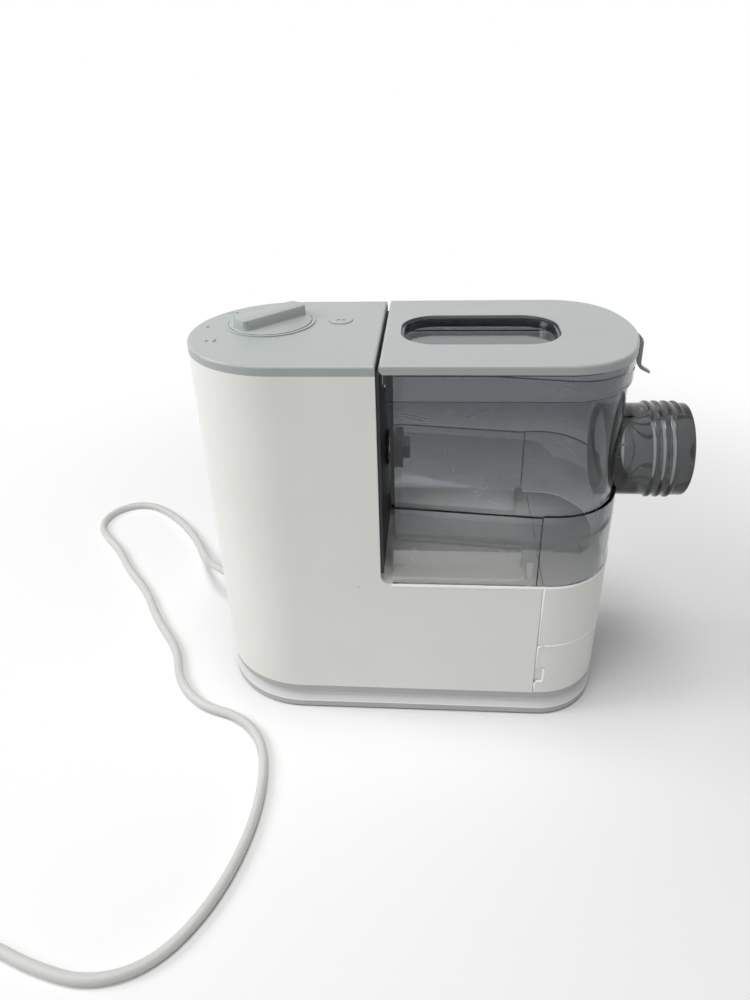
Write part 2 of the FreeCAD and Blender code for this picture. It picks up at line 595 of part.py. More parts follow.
# Lid: a grey frame with a window opening, pockets for the chamber's ears and pin holes
lid_frame = subpart("lid_frame", new_body("lid_frame"))
add(lid_frame, "XY_Plane", "lid_bottom", "lid_top", front_end, LID_BACK, "0")
soften(lid_frame, "lid_round", level_edge("lid_top"))
cut(lid_frame, "XY_Plane", "lid_bottom", "lid_top", rounded_box, WINDOW_BACK, WINDOW_FRONT, "window_half",
    "window_corner")
cut(lid_frame, "XZ_Plane", f"- {HALF}", HALF, polygon, (LID_BACK, "lid_bottom"),
    (f"{LID_BACK} + lid_heel", "lid_bottom"), (LID_BACK, "lid_bottom + lid_heel"))
for side in (-1, 1):
    cut(lid_frame, "XY_Plane", "lid_bottom", "hinge_level + ear_radius + ear_play", rectangle, LID_BACK,
        f"{HINGE_PLACE} + ear_radius + ear_play", f"{side} * hinge_side - ear_half - ear_play",
        f"{side} * hinge_side + ear_half + ear_play")
    cut(lid_frame, "XZ_Plane", f"{side} * hinge_side - pin_long / 2",
        f"{side} * hinge_side + pin_long / 2", circles, "hinge_pin", (HINGE_PLACE, "hinge_level"))
subpart("hinge_pins", group([rod("Y", HINGE_PLACE, f"{side} * hinge_side - pin_long / 2", "hinge_level",
    "hinge_pin", "pin_long") for side in (-1, 1)]))

# Lid window: a clear tray let into the lid
lid_window = subpart("lid_window", new_body("lid_window"))
add(lid_window, "XY_Plane", "window_drop", "window_rim", rounded_box, f"{WINDOW_BACK} + window_play",
    f"{WINDOW_FRONT} - window_play", "window_half - window_play", "window_corner - window_play")
WINDOW_SKIN = "window_play + window_wall"
cut(lid_window, "XY_Plane", "window_drop + window_wall", "window_rim", rounded_box,
    f"{WINDOW_BACK} + {WINDOW_SKIN}", f"{WINDOW_FRONT} - ( {WINDOW_SKIN} )",
    f"window_half - ( {WINDOW_SKIN} )", f"window_corner - ( {WINDOW_SKIN} )")

# Lid seal, inside the tub's mouth, and the finger tab at the front
lid_seal = subpart("lid_seal", new_body("lid_seal"))
SEAL_INSET = "tub_inset + wall + seal_play"
add(lid_seal, "XY_Plane", "lid_bottom - seal_deep", "lid_bottom", front_end,
    f"{TUB_BACK} + wall + seal_play", SEAL_INSET)
cut(lid_seal, "XY_Plane", "lid_bottom - seal_deep", "lid_bottom", front_end,
    f"{TUB_BACK} + wall + seal_play + seal_wide", f"{SEAL_INSET} + seal_wide")
lid_tab = subpart("lid_tab", new_body("lid_tab"))
add(lid_tab, "XZ_Plane", "- tab_half", "tab_half", polygon, ("body_length", "lid_bottom"),
    ("body_length + tab_out", "tab_shoulder"), ("body_length + tab_out", "tab_knee - tab_thick"),
    ("body_length + tab_flare", "tab_tip"), ("body_length + tab_flare", "tab_tip + tab_edge"),
    ("body_length + tab_out + tab_thick", "tab_knee"),
    ("body_length + tab_out + tab_thick", "tab_shoulder"), ("body_length", "tab_top"))

# Control panel: a grey cap on the column
control_panel = subpart("control_panel", new_body("control_panel"))
add(control_panel, "XY_Plane", "column_top", "panel_top", back_end, "column_length", "0")
soften(control_panel, "panel_round", level_edge("panel_top"))
cut(control_panel, "XY_Plane", "column_top", "panel_top - panel_skin", back_end, "column_length - wall",
    "wall")
cut(control_panel, "XY_Plane", "column_top", "panel_top", circles, "stem_radius + button_play",
    ("dial_place", "dial_side"))
cut(control_panel, "XY_Plane", "column_top", "panel_top", circles, "button_radius + button_play",
    (BUTTON_PLACE, "button_side"))

# Program dial: a flat disc with a grip bar and a stem, inside a fixed ring
subpart("dial_ring", ring("Z", "dial_place", "dial_side", "panel_top",
    "dial_radius + ring_play + ring_width", "dial_radius + ring_play", "ring_proud"))
bar = doc.addObject("Part::Box", "GripBar")
bar.setExpression("Length", bound("2 * dial_radius"))
bar.setExpression("Width", bound("bar_wide"))
bar.setExpression("Height", bound("bar_top - panel_top - dial_lift"))
place(bar, "dial_place - dial_radius * cos(bar_turn) + bar_wide / 2 * sin(bar_turn)",
    "dial_side - dial_radius * sin(bar_turn) - bar_wide / 2 * cos(bar_turn)", "panel_top + dial_lift",
    FreeCAD.Rotation(V(0, 0, 1), number("bar_turn")))
bar_limit = rod("Z", "dial_place", "dial_side", "panel_top + dial_lift", "dial_radius",
    "bar_top - panel_top")
dial_disc = rod("Z", "dial_place", "dial_side", "panel_top + dial_lift", "dial_radius", "dial_thick")
dial_stem = rod("Z", "dial_place", "dial_side", "stem_end", "stem_radius",
    "panel_top - stem_end + dial_thick")
subpart("dial_knob", fused([dial_disc, joined("Part::Common", bar, bar_limit), dial_stem]))

# Start button, its switch, the circuit board and what the board carries
BOARD_TOP = "board_level + board_thick"
subpart("start_button", rod("Z", BUTTON_PLACE, "button_side", "button_foot", "button_radius",
    "panel_top + button_proud - button_foot"))
subpart("button_switch", block(f"{BUTTON_PLACE} - tact_size / 2", f"{BUTTON_PLACE} + tact_size / 2",
    "button_side - tact_size / 2", "button_side + tact_size / 2", BOARD_TOP, "tact_top"))
switch_case = block("dial_place - switch_size / 2", "dial_place + switch_size / 2",
    "dial_side - switch_size / 2", "dial_side + switch_size / 2", BOARD_TOP, "column_top")
switch_bore = rod("Z", "dial_place", "dial_side", "stem_end - dial_lift", "stem_radius + turn_play",
    "column_top - stem_end + dial_lift")
subpart("selector_switch", joined("Part::Cut", switch_case, switch_bore))
subpart("control_board", block("board_back", BOARD_FRONT, "- board_half", "board_half", "board_level",
    BOARD_TOP))
POSTS = [(x, f"{side} * board_post_side") for x in ("board_post_back", BOARD_POST_FRONT)
    for side in (-1, 1)]
subpart("board_posts", group([rod("Z", x, y, BOARD_TOP, "board_post",
    f"panel_top - panel_skin - ( {BOARD_TOP} )") for x, y in POSTS]))
RELAY = ("dial_place + switch_size", "dial_place + 2 * switch_size", "- switch_size - tact_size",
    "- switch_size", BOARD_TOP, "column_top")
subpart("board_relay", block(*RELAY))
subpart("board_capacitor", rod("Z", "dial_place - tact_size", "- switch_size", BOARD_TOP, "tact_size / 2",
    "tact_size"))
subpart("lid_switch", block("column_length - wall - switch_size", "column_length - wall",
    "- switch_size - tact_size", "- switch_size", f"{PLATE_HIGH} + wall", "board_level - wall"))

# Drive motor, lying along the machine on a saddle
WHEEL_BACK = f"{CAN_FRONT} + plate_thick + mesh_gap"
PINION_BACK = f"{WHEEL_BACK} + wheel_width"
PLATE_FRONT = "column_length - wall - plate_thick"
motor_can = subpart("motor_can", new_body("motor_can"))
add(motor_can, "YZ_Plane", "can_back", CAN_FRONT, circles, "can_radius", ("0", MOTOR_LEVEL))
cut(motor_can, "YZ_Plane", "can_back + plate_thick", f"{CAN_FRONT} - plate_thick", circles, "can_bore",
    ("0", MOTOR_LEVEL))
cut(motor_can, "YZ_Plane", "can_back", CAN_FRONT, circles, "motor_bush", ("0", MOTOR_LEVEL))
subpart("motor_bushes", group([ring("X", x, "0", MOTOR_LEVEL, "motor_bush", "motor_axle + bush_play",
    "plate_thick") for x in ("can_back", f"{CAN_FRONT} - plate_thick")]))
subpart("motor_shaft", rod("X", "can_back - plate_thick", "0", MOTOR_LEVEL, "motor_axle",
    f"{PINION_BACK} - can_back + plate_thick"))
subpart("motor_rotor", ring("X", "can_back + plate_thick + rotor_play", "0", MOTOR_LEVEL, "rotor_radius",
    "motor_axle", f"{CAN_FRONT} - can_back - 2 * ( plate_thick + rotor_play )"))
saddle = block("saddle_back", SADDLE_FRONT, "- saddle_half", "saddle_half", "base_lift + base_floor",
    SADDLE_TOP)
subpart("motor_saddle", joined("Part::Cut", saddle,
    rod("X", "can_back", "0", MOTOR_LEVEL, "can_radius + bush_play", CAN_FRONT)))

# Gearbox: two plates on spacers, with bushes for the two upper shafts
CORNERS = [(f"{side} * spacer_side", level) for side in (-1, 1) for level in (SPACER_LOW, SPACER_HIGH)]


def gear_plate(label, back):
    plate = subpart(label, new_body(label))
    front = f"{back} + plate_thick"
    add(plate, "YZ_Plane", back, front, rectangle, "- plate_half", "plate_half", PLATE_LOW, PLATE_HIGH)
    cut(plate, "YZ_Plane", back, front, circles, "motor_bush", ("0", MOTOR_LEVEL), ("0", LAY_LEVEL))
    cut(plate, "YZ_Plane", back, front, circles, "drive_bush", ("0", "drive_level"))


gear_plate("gear_plate_rear", CAN_FRONT)
gear_plate("gear_plate_front", PLATE_FRONT)
SPACER_BACK = f"{CAN_FRONT} + plate_thick"
subpart("gear_spacers", group([rod("X", SPACER_BACK, y, z, "spacer_radius",
    f"{PLATE_FRONT} - ( {SPACER_BACK} )") for y, z in CORNERS]))
subpart("gear_screws", group([rod("X", f"{CAN_FRONT} - screw_head", y, z, "screw_radius", "screw_head")
    for y, z in CORNERS]))
subpart("lay_bushes", group([ring("X", x, "0", LAY_LEVEL, "lay_bush", "lay_axle + bush_play",
    "plate_thick") for x in (CAN_FRONT, PLATE_FRONT)]))
subpart("drive_bushes", group([ring("X", x, "0", "drive_level", "drive_bush", "drive_axle + bush_play",
    "plate_thick") for x in (CAN_FRONT, PLATE_FRONT)]))


def gear(label, teeth, bore, back, width, level, tooth_up):
    """A spur wheel along X. Its teeth are straight-sided, with a tooth or a gap at the mesh."""
    module = number("gear_module")
    pitch = 2 * math.pi / number(teeth)
    root = module * number(teeth) / 2 - 1.25 * module
    tip = root + 2.1 * module
    first = math.pi / 2 if tooth_up else -math.pi / 2 + pitch / 2
    outline = []
    for tooth in range(int(number(teeth))):
        middle = first + tooth * pitch
        for radius, share in ((root, -0.3), (tip, -0.1), (tip, 0.1), (root, 0.3)):
            turn = middle + share * pitch
            outline.append(V(0, radius * math.cos(turn), radius * math.sin(turn)))
    wheel = Part.Face(Part.makePolygon(outline + outline[:1])).extrude(V(number(width), 0, 0))
    wheel = wheel.cut(Part.makeCylinder(number(bore), number(width), V(), V(1, 0, 0)))
    made = doc.addObject("Part::Feature", label)
    made.Shape = wheel
    made.Placement = FreeCAD.Placement(V(0, 0, 0), FreeCAD.Rotation())
    subpart(label, made)
    made.setExpression("Placement.Base.x", bound(f"{MIDDLE} + {back}"))
    made.setExpression("Placement.Base.z", bound(level))


gear("motor_pinion", "motor_teeth", "motor_axle", WHEEL_BACK, "wheel_width", MOTOR_LEVEL, True)
gear("lay_wheel", "lay_wheel_teeth", "lay_axle", WHEEL_BACK, "wheel_width", LAY_LEVEL, False)
gear("lay_pinion", "lay_pinion_teeth", "lay_axle", PINION_BACK, "wheel_width + 2 * mesh_gap", LAY_LEVEL,
    True)
gear("drive_wheel", "drive_wheel_teeth", "drive_axle", f"{PINION_BACK} + mesh_gap", "wheel_width",
    "drive_level", False)
subpart("lay_shaft", rod("X", CAN_FRONT, "0", LAY_LEVEL, "lay_axle",
    f"column_length - wall - {CAN_FRONT}"))
subpart("drive_shaft", rod("X", CAN_FRONT, "0", "drive_level", "drive_axle",
    f"{DOG_START} - {CAN_FRONT}"))
dog = doc.addObject("Part::Prism", "Dog")
dog.Polygon = 6
dog.setExpression("Circumradius", bound("dog_radius"))
dog.setExpression("Height", bound(f"{DOG_END} - {DOG_START}"))
place(dog, DOG_START, "0", "drive_level", AXES["X"])
subpart("drive_dog", fused([dog, rod("X", DOG_START, "0", "drive_level", "drive_axle",
    f"{DOG_END} - {DOG_START}")]))
subpart("shaft_seal", ring("X", "column_length", "0", "drive_level", "seal_radius",
    "drive_axle + bush_play", "seal_thick"))

# Mains lead: strain relief, free lead on the table, plug and pins
gland = doc.addObject("Part::Cone", "Gland")
gland.setExpression("Radius1", bound("gland_root"))
gland.setExpression("Radius2", bound("gland_tip"))
gland.setExpression("Height", bound("gland_long + wall"))
place(gland, f"{GLAND_X} - wall * cos(gland_turn)", f"{GLAND_Y} - wall * sin(gland_turn)", "gland_level",
    GLAND_TURN)
subpart("strain_relief", gland)

# Route of the lead from the strain relief to the plug, in the back end's frame
TIP_OUT = number(HALF) + number("gland_long")
TIP_WAY = V(math.cos(math.radians(number("gland_turn"))), math.sin(math.radians(number("gland_turn"))), 0)
ROUTE = [V(number(HALF), 0, number("gland_level")) + TIP_WAY * TIP_OUT] + [V(*point)
    for point in ((-34, 71.5, 33.5), (-50, 97, 20), (-64, 126, 7.5), (-80, 157, 3.6), (-100, 185, 3.6),
    (-123, 209, 3.6), (-146, 226, 3.6), (-167, 231, 3.6), (-186, 222.5, 3.6), (-197, 204.5, 3.6),
    (-196.5, 183, 3.6), (-184, 165, 3.6), (-160, 140, 3.6), (-138, 106, 3.6), (-108, 72, 3.6),
    (-84, 30, 3.6), (-53, -9, 3.6), (-41, -47, 3.6), (-14, -75, 3.6), (20, -84, 3.6), (43, -108, 3.6),
    (51, -147, 3.6), (49, -192, 3.6), (36, -238, 3.6), (12, -274, 3.6), (-22, -287, 3.6),
    (-59, -280, 3.6), (-92, -268, 3.6), (-127, -262, 5.6), (-160, -268, 7.6))]


def rounded_path(points):
    """Straight runs joined by tangent arcs, each as large as its shorter run allows."""
    edges = []
    radii = []
    here = points[0]
    for before, corner, after in zip(points, points[1:], points[2:]):
        back, ahead = (before - corner), (after - corner)
        reach = 0.45 * min(back.Length, ahead.Length)
        half_turn = (math.pi - back.getAngle(ahead)) / 2
        radii.append(reach / math.tan(half_turn))
        start, end = corner + back.normalize() * reach, corner + ahead.normalize() * reach
        inward = (back + ahead).normalize()
        middle = corner + inward * (math.hypot(reach, radii[-1]) - radii[-1])
        edges.append(Part.LineSegment(here, start).toShape())
        edges.append(Part.Arc(start, middle, end).toShape())
        here = end
    edges.append(Part.LineSegment(here, points[-1]).toShape())
    return Part.Wire(edges), radii


lead_path, lead_radii = rounded_path(ROUTE)
lead_section = Part.Wire(Part.makeCircle(number("lead_diameter / 2"), ROUTE[0], ROUTE[1] - ROUTE[0]))
mains_lead = doc.addObject("Part::Feature", "mains_lead")
mains_lead.Shape = lead_path.makePipeShell([lead_section], True, False)
subpart("mains_lead", mains_lead)
lead_area = math.pi * number("lead_diameter / 2") ** 2
print("lead length", round(lead_path.Length, 1), "volume share",
    round(mains_lead.Shape.Volume / lead_area / lead_path.Length, 4))
print("lead radii", [round(radius, 1) for radius in lead_radii])

PLUG_WAY = math.degrees(math.atan2(ROUTE[-1].y - ROUTE[-2].y, ROUTE[-1].x - ROUTE[-2].x))
PLUG_TURN = FreeCAD.Rotation(V(0, 0, 1), PLUG_WAY)
plug_block = doc.addObject("Part::Box", "PlugBlock")
plug_block.setExpression("Length", bound("plug_long"))
plug_block.setExpression("Width", bound("plug_wide"))
plug_block.setExpression("Height", bound("plug_tall"))
plug_block.Placement = FreeCAD.Placement(ROUTE[-1] + PLUG_TURN.multVec(
    V(0, -number("plug_wide / 2"), -number("plug_tall / 2"))), PLUG_TURN)
doc.recompute()
plug = doc.addObject("Part::Fillet", "Plug")
plug.Base = plug_block
plug.Edges = [(at, number("plug_round"), number("plug_round"))
    for at in range(1, len(plug_block.Shape.Edges) + 1)]
subpart("plug_body", plug)
pins = []
for side in (-1, 1):
    pin = doc.addObject("Part::Cylinder", "PlugPin")
    pin.setExpression("Radius", bound("plug_pin"))
    pin.setExpression("Height", bound("plug_pin_long"))
    foot = V(number("plug_long"), side * number("plug_pin_side"), 0)
    pin.Placement = FreeCAD.Placement(ROUTE[-1] + PLUG_TURN.multVec(foot), PLUG_TURN * AXES["X"])
    pins.append(pin)
subpart("plug_pins", group(pins))

# Every object has to be sound before anything is written
doc.recompute()
failed = [each.Name for each in doc.Objects if {"Invalid", "Error"} & set(each.State)]
unsound = [each.Label for each in subparts if each.Shape.isNull() or not each.Shape.isValid()]
if failed or unsound:
    raise RuntimeError(f"failed features {failed}, unsound pieces {unsound}")
for each in subparts:
    each.Shape.exportStep(f"parts/{each.Label}.step")
print(len(subparts), "pieces written")
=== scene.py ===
import bpy
import bmesh
import math
from mathutils import Matrix, Vector


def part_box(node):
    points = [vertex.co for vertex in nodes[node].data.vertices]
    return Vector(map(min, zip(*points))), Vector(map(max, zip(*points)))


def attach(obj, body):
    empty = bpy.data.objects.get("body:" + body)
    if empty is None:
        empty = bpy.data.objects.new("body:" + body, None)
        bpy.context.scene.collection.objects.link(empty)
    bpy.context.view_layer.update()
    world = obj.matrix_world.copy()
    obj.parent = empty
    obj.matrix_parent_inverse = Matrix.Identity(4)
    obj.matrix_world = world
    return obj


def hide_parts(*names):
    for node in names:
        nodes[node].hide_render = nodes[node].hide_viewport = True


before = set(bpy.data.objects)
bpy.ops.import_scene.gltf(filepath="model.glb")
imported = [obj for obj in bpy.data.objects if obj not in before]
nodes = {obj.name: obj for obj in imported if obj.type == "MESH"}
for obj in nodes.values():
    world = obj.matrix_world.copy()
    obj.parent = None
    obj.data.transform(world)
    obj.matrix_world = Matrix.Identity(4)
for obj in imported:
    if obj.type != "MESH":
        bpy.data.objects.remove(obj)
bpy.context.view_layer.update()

# Camera: a phone held above the worktop in front of the machine, looking down at it.
# Its place, angles and lens come from fitting the machine's outlines in the photograph.
CAMERA_PLACE = (-0.0030, -0.5047, 0.4588)
CAMERA_TILT = (58.927, 1.609, 4.194)
CAMERA_LENS, SENSOR_WIDTH, NEAREST_SEEN = 27.63, 36, 0.01
camera_data = bpy.data.cameras.new("phone_camera")
camera_data.lens = CAMERA_LENS
camera_data.sensor_width = SENSOR_WIDTH
camera_data.clip_start = NEAREST_SEEN
camera = bpy.data.objects.new("phone_camera", camera_data)
camera.location = CAMERA_PLACE
camera.rotation_euler = [math.radians(angle) for angle in CAMERA_TILT]
bpy.context.collection.objects.link(camera)
bpy.context.scene.camera = camera
bpy.context.scene.view_settings.view_transform = "Standard"

# Studio: a white sweep with a soft window light from the left, a high soft ceiling light
# and a weak front fill. The eye, mirrors and glass see plain white round the machine,
# and the floor keeps its soft shadow.
ROOM_FILL = 0.19
FLOOR_REACH, FLOOR_LEVEL = 6.0, -0.0002
SWEEP_WHITE, SWEEP_ROUGH, SWEEP_SHINE = 0.90, 0.9, 0.1
SHADOW_REACH, SHADOW_END = 0.25, 0.75


def seen_white(tree):
    """A mask of the rays that see the white sweep: from the camera, off gloss and through glass."""
    paths = tree.nodes.new("ShaderNodeLightPath")
    eye = tree.nodes.new("ShaderNodeMath")
    eye.operation = "MAXIMUM"
    tree.links.new(paths.outputs["Is Camera Ray"], eye.inputs[0])
    tree.links.new(paths.outputs["Is Glossy Ray"], eye.inputs[1])
    both = tree.nodes.new("ShaderNodeMath")
    both.operation = "MAXIMUM"
    tree.links.new(eye.outputs[0], both.inputs[0])
    tree.links.new(paths.outputs["Is Transmission Ray"], both.inputs[1])
    return both.outputs[0]


world = bpy.data.worlds.new("white_room")
world.use_nodes = True
bpy.context.scene.world = world
room = world.node_tree
room_level = room.nodes.new("ShaderNodeMapRange")
room_level.inputs["To Min"].default_value = ROOM_FILL
room_level.inputs["To Max"].default_value = 1.0
room.links.new(seen_white(room), room_level.inputs["Value"])
room.nodes["Background"].inputs["Color"].default_value = (1, 1, 1, 1)
room.links.new(room_level.outputs[0], room.nodes["Background"].inputs["Strength"])


def lamp(name, place, aim, size, watts):
    """A square soft lamp that looks at a point of the machine."""
    data = bpy.data.lights.new(name, "AREA")
    data.size = size
    data.energy = watts
    made = bpy.data.objects.new(name, data)
    made.location = place
    made.rotation_euler = (Vector(aim) - Vector(place)).to_track_quat("-Z", "Y").to_euler()
    bpy.context.collection.objects.link(made)


lamp("window_left", place=(-1.6, -0.15, 1.2), aim=(0, 0, 0.15), size=0.9, watts=16.5)
lamp("ceiling", place=(-0.1, -0.2, 2.0), aim=(0, 0, 0.2), size=0.8, watts=20)
lamp("front_fill", place=(-0.9, -1.25, 1.45), aim=(0, 0, 0.15), size=0.9, watts=4.5)

floor_mesh = bpy.data.meshes.new("floor")
floor_corners = ((-1, -1), (1, -1), (1, 1), (-1, 1))
floor_places = [(x * FLOOR_REACH, y * FLOOR_REACH, FLOOR_LEVEL) for x, y in floor_corners]
floor_mesh.from_pydata(floor_places, [], [(0, 1, 2, 3)])
floor = bpy.data.objects.new("floor", floor_mesh)
bpy.context.collection.objects.link(floor)
sweep = bpy.data.materials.new("white_sweep")
sweep.use_nodes = True
sweep_tree = sweep.node_tree
sweep_shader = sweep_tree.nodes["Principled BSDF"]
sweep_shader.inputs["Base Color"].default_value = (SWEEP_WHITE, SWEEP_WHITE, SWEEP_WHITE, 1)
sweep_shader.inputs["Roughness"].default_value = SWEEP_ROUGH
sweep_shader.inputs["Specular IOR Level"].default_value = SWEEP_SHINE
sweep_place = sweep_tree.nodes.new("ShaderNodeTexCoord")
sweep_far = sweep_tree.nodes.new("ShaderNodeVectorMath")
sweep_far.operation = "LENGTH"
sweep_tree.links.new(sweep_place.outputs["Object"], sweep_far.inputs[0])
sweep_fade = sweep_tree.nodes.new("ShaderNodeMapRange")
sweep_fade.interpolation_type = "SMOOTHSTEP"
sweep_fade.inputs["From Min"].default_value = SHADOW_REACH
sweep_fade.inputs["From Max"].default_value = SHADOW_END
sweep_tree.links.new(sweep_far.outputs["Value"], sweep_fade.inputs["Value"])
sweep_mask = sweep_tree.nodes.new("ShaderNodeMath")
sweep_mask.operation = "MULTIPLY"
sweep_tree.links.new(sweep_fade.outputs[0], sweep_mask.inputs[0])
sweep_tree.links.new(seen_white(sweep_tree), sweep_mask.inputs[1])
sweep_white = sweep_tree.nodes.new("ShaderNodeEmission")
sweep_mix = sweep_tree.nodes.new("ShaderNodeMixShader")
sweep_tree.links.new(sweep_mask.outputs[0], sweep_mix.inputs["Fac"])
sweep_tree.links.new(sweep_shader.outputs[0], sweep_mix.inputs[1])
sweep_tree.links.new(sweep_white.outputs[0], sweep_mix.inputs[2])
sweep_tree.links.new(sweep_mix.outputs[0], sweep_tree.nodes["Material Output"].inputs["Surface"])
floor_mesh.materials.append(sweep)

# Base pan and feet: a grey ABS tray, moulded in one piece, that closes the housing from below.
# Its flange slopes up to a shadow groove under an upper tier, and a light rim runs round its edge as a
# painted highlight.
# Faces that look upward are painted lighter, as painted light from above.
# Four rubber feet are pushed into the underside.
pan_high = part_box("base_pan")[1]
BODY_LENGTH, HALF_WIDTH, FRONT_END = 0.302, pan_high[1], pan_high[0]
BACK_END = FRONT_END - BODY_LENGTH
CORNER_RADIUS, FACE_RADIUS = 0.047, 0.100
RIM_LEVEL, RIM, RIM_SUNK = 0.0067, 0.0007, 0.00045
TOP_LIGHT_COLOUR = (0.76, 0.77, 0.765)
TOP_LIGHT_STARTS, TOP_LIGHT_FULL = 0.1, 0.4


def moulded_skin():
    """Shared look of moulded plastic: slow colour drift, fine grain and uneven gloss."""
    group = bpy.data.node_groups.new("moulded_skin", "ShaderNodeTree")
    face = group.interface
    face.new_socket(name="Colour", in_out="INPUT", socket_type="NodeSocketColor")
    face.new_socket(name="Stain", in_out="INPUT", socket_type="NodeSocketColor")
    face.new_socket(name="Stain Amount", in_out="INPUT", socket_type="NodeSocketFloat")
    face.new_socket(name="Grain Size", in_out="INPUT", socket_type="NodeSocketFloat")
    face.new_socket(name="Gloss Low", in_out="INPUT", socket_type="NodeSocketFloat")
    face.new_socket(name="Gloss High", in_out="INPUT", socket_type="NodeSocketFloat")
    face.new_socket(name="Colour", in_out="OUTPUT", socket_type="NodeSocketColor")
    face.new_socket(name="Roughness", in_out="OUTPUT", socket_type="NodeSocketFloat")
    face.new_socket(name="Height", in_out="OUTPUT", socket_type="NodeSocketFloat")
    entry = group.nodes.new("NodeGroupInput")
    leave = group.nodes.new("NodeGroupOutput")
    where = group.nodes.new("ShaderNodeTexCoord")

    def noise(detail):
        made = group.nodes.new("ShaderNodeTexNoise")
        made.inputs["Detail"].default_value = detail
        group.links.new(where.outputs["Object"], made.inputs["Vector"])
        return made

    drift = noise(detail=5)
    drift.inputs["Scale"].default_value = 14
    drift_ramp = group.nodes.new("ShaderNodeMapRange")
    drift_ramp.inputs["From Min"].default_value = 0.45
    drift_ramp.inputs["From Max"].default_value = 0.75
    group.links.new(drift.outputs["Fac"], drift_ramp.inputs["Value"])
    amount = group.nodes.new("ShaderNodeMath")
    amount.operation = "MULTIPLY"
    group.links.new(drift_ramp.outputs[0], amount.inputs[0])
    group.links.new(entry.outputs["Stain Amount"], amount.inputs[1])
    tint = group.nodes.new("ShaderNodeMix")
    tint.data_type = "RGBA"
    group.links.new(amount.outputs[0], tint.inputs["Factor"])
    group.links.new(entry.outputs["Colour"], tint.inputs[6])
    group.links.new(entry.outputs["Stain"], tint.inputs[7])
    group.links.new(tint.outputs[2], leave.inputs["Colour"])
    gloss = noise(detail=4)
    gloss.inputs["Scale"].default_value = 60
    gloss_range = group.nodes.new("ShaderNodeMapRange")
    group.links.new(gloss.outputs["Fac"], gloss_range.inputs["Value"])
    group.links.new(entry.outputs["Gloss Low"], gloss_range.inputs["To Min"])
    group.links.new(entry.outputs["Gloss High"], gloss_range.inputs["To Max"])
    group.links.new(gloss_range.outputs[0], leave.inputs["Roughness"])
    grain = noise(detail=2)
    group.links.new(entry.outputs["Grain Size"], grain.inputs["Scale"])
    group.links.new(grain.outputs["Fac"], leave.inputs["Height"])
    return group


skin = moulded_skin()


def plastic(name, colour, stain, stain_amount=0.35, grain=1500, bump=0.05, gloss=(0.35, 0.5), metal=0.0):
    """A moulded or machined finish made from the shared skin."""
    made = bpy.data.materials.new(name)
    made.use_nodes = True
    tree = made.node_tree
    shader = tree.nodes["Principled BSDF"]
    shader.inputs["Metallic"].default_value = metal
    surface = tree.nodes.new("ShaderNodeGroup")
    surface.node_tree = skin
    surface.inputs["Colour"].default_value = (*colour, 1)
    surface.inputs["Stain"].default_value = (*stain, 1)
    surface.inputs["Stain Amount"].default_value = stain_amount
    surface.inputs["Grain Size"].default_value = grain
    surface.inputs["Gloss Low"].default_value = gloss[0]
    surface.inputs["Gloss High"].default_value = gloss[1]
    tree.links.new(surface.outputs["Colour"], shader.inputs["Base Color"])
    tree.links.new(surface.outputs["Roughness"], shader.inputs["Roughness"])
    dent = tree.nodes.new("ShaderNodeBump")
    dent.inputs["Strength"].default_value = bump
    dent.inputs["Distance"].default_value = 0.0004
    tree.links.new(surface.outputs["Height"], dent.inputs["Height"])
    tree.links.new(dent.outputs["Normal"], shader.inputs["Normal"])
    return made


def laid_over(material, mask, colour):
    """Lays a colour over a finish where a mask is set."""
    tree = material.node_tree
    base_colour = tree.nodes["Principled BSDF"].inputs["Base Color"]
    laid = tree.nodes.new("ShaderNodeMix")
    laid.data_type = "RGBA"
    laid.inputs[7].default_value = (*colour, 1)
    tree.links.new(mask, laid.inputs["Factor"])
    tree.links.new(base_colour.links[0].from_socket, laid.inputs[6])
    tree.links.new(laid.outputs[2], base_colour)


def paint(material, *names):
    """Puts a finish on CAD pieces."""
    for name in names:
        piece = nodes[name]
        piece.data.materials.clear()
        piece.data.materials.append(material)


def new_piece(name, build, material, body):
    """Makes one mesh piece with bmesh and lets it ride on a body of the machine."""
    mesh = bpy.data.meshes.new(name)
    form = bmesh.new()
    build(form)
    bmesh.ops.recalc_face_normals(form, faces=form.faces)
    form.to_mesh(mesh)
    form.free()
    for face in mesh.polygons:
        face.use_smooth = True
    mesh.materials.append(material)
    made = bpy.data.objects.new(name, mesh)
    bpy.context.collection.objects.link(made)
    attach(made, body)
    return made


def bead(form, path, radius, sides=12):
    """A thin round bead along a line of points, with its section carried along without a twist."""
    rows = []
    turns = [2 * math.pi * step / sides for step in range(sides)]
    side = Vector((0, 0.6, 0.8))
    for at, place in enumerate(path):
        way = (path[min(at + 1, len(path) - 1)] - path[max(at - 1, 0)]).normalized()
        side = (side - way * side.dot(way)).normalized()
        up = side.cross(way)
        ring = [place + (side * math.cos(turn) + up * math.sin(turn)) * radius for turn in turns]
        rows.append([form.verts.new(corner) for corner in ring])
    for one, two in zip(rows, rows[1:]):
        for at in range(sides):
            after = (at + 1) % sides
            form.faces.new((one[at], one[after], two[after], two[at]))
    form.faces.new(rows[0])
    form.faces.new(rows[-1])


def arc(x, y, radius, first, last, steps=16):
    """Points of an arc between two angles."""
    turns = [first + (last - first) * at / steps for at in range(steps + 1)]
    return [(x + radius * math.cos(turn), y + radius * math.sin(turn)) for turn in turns]


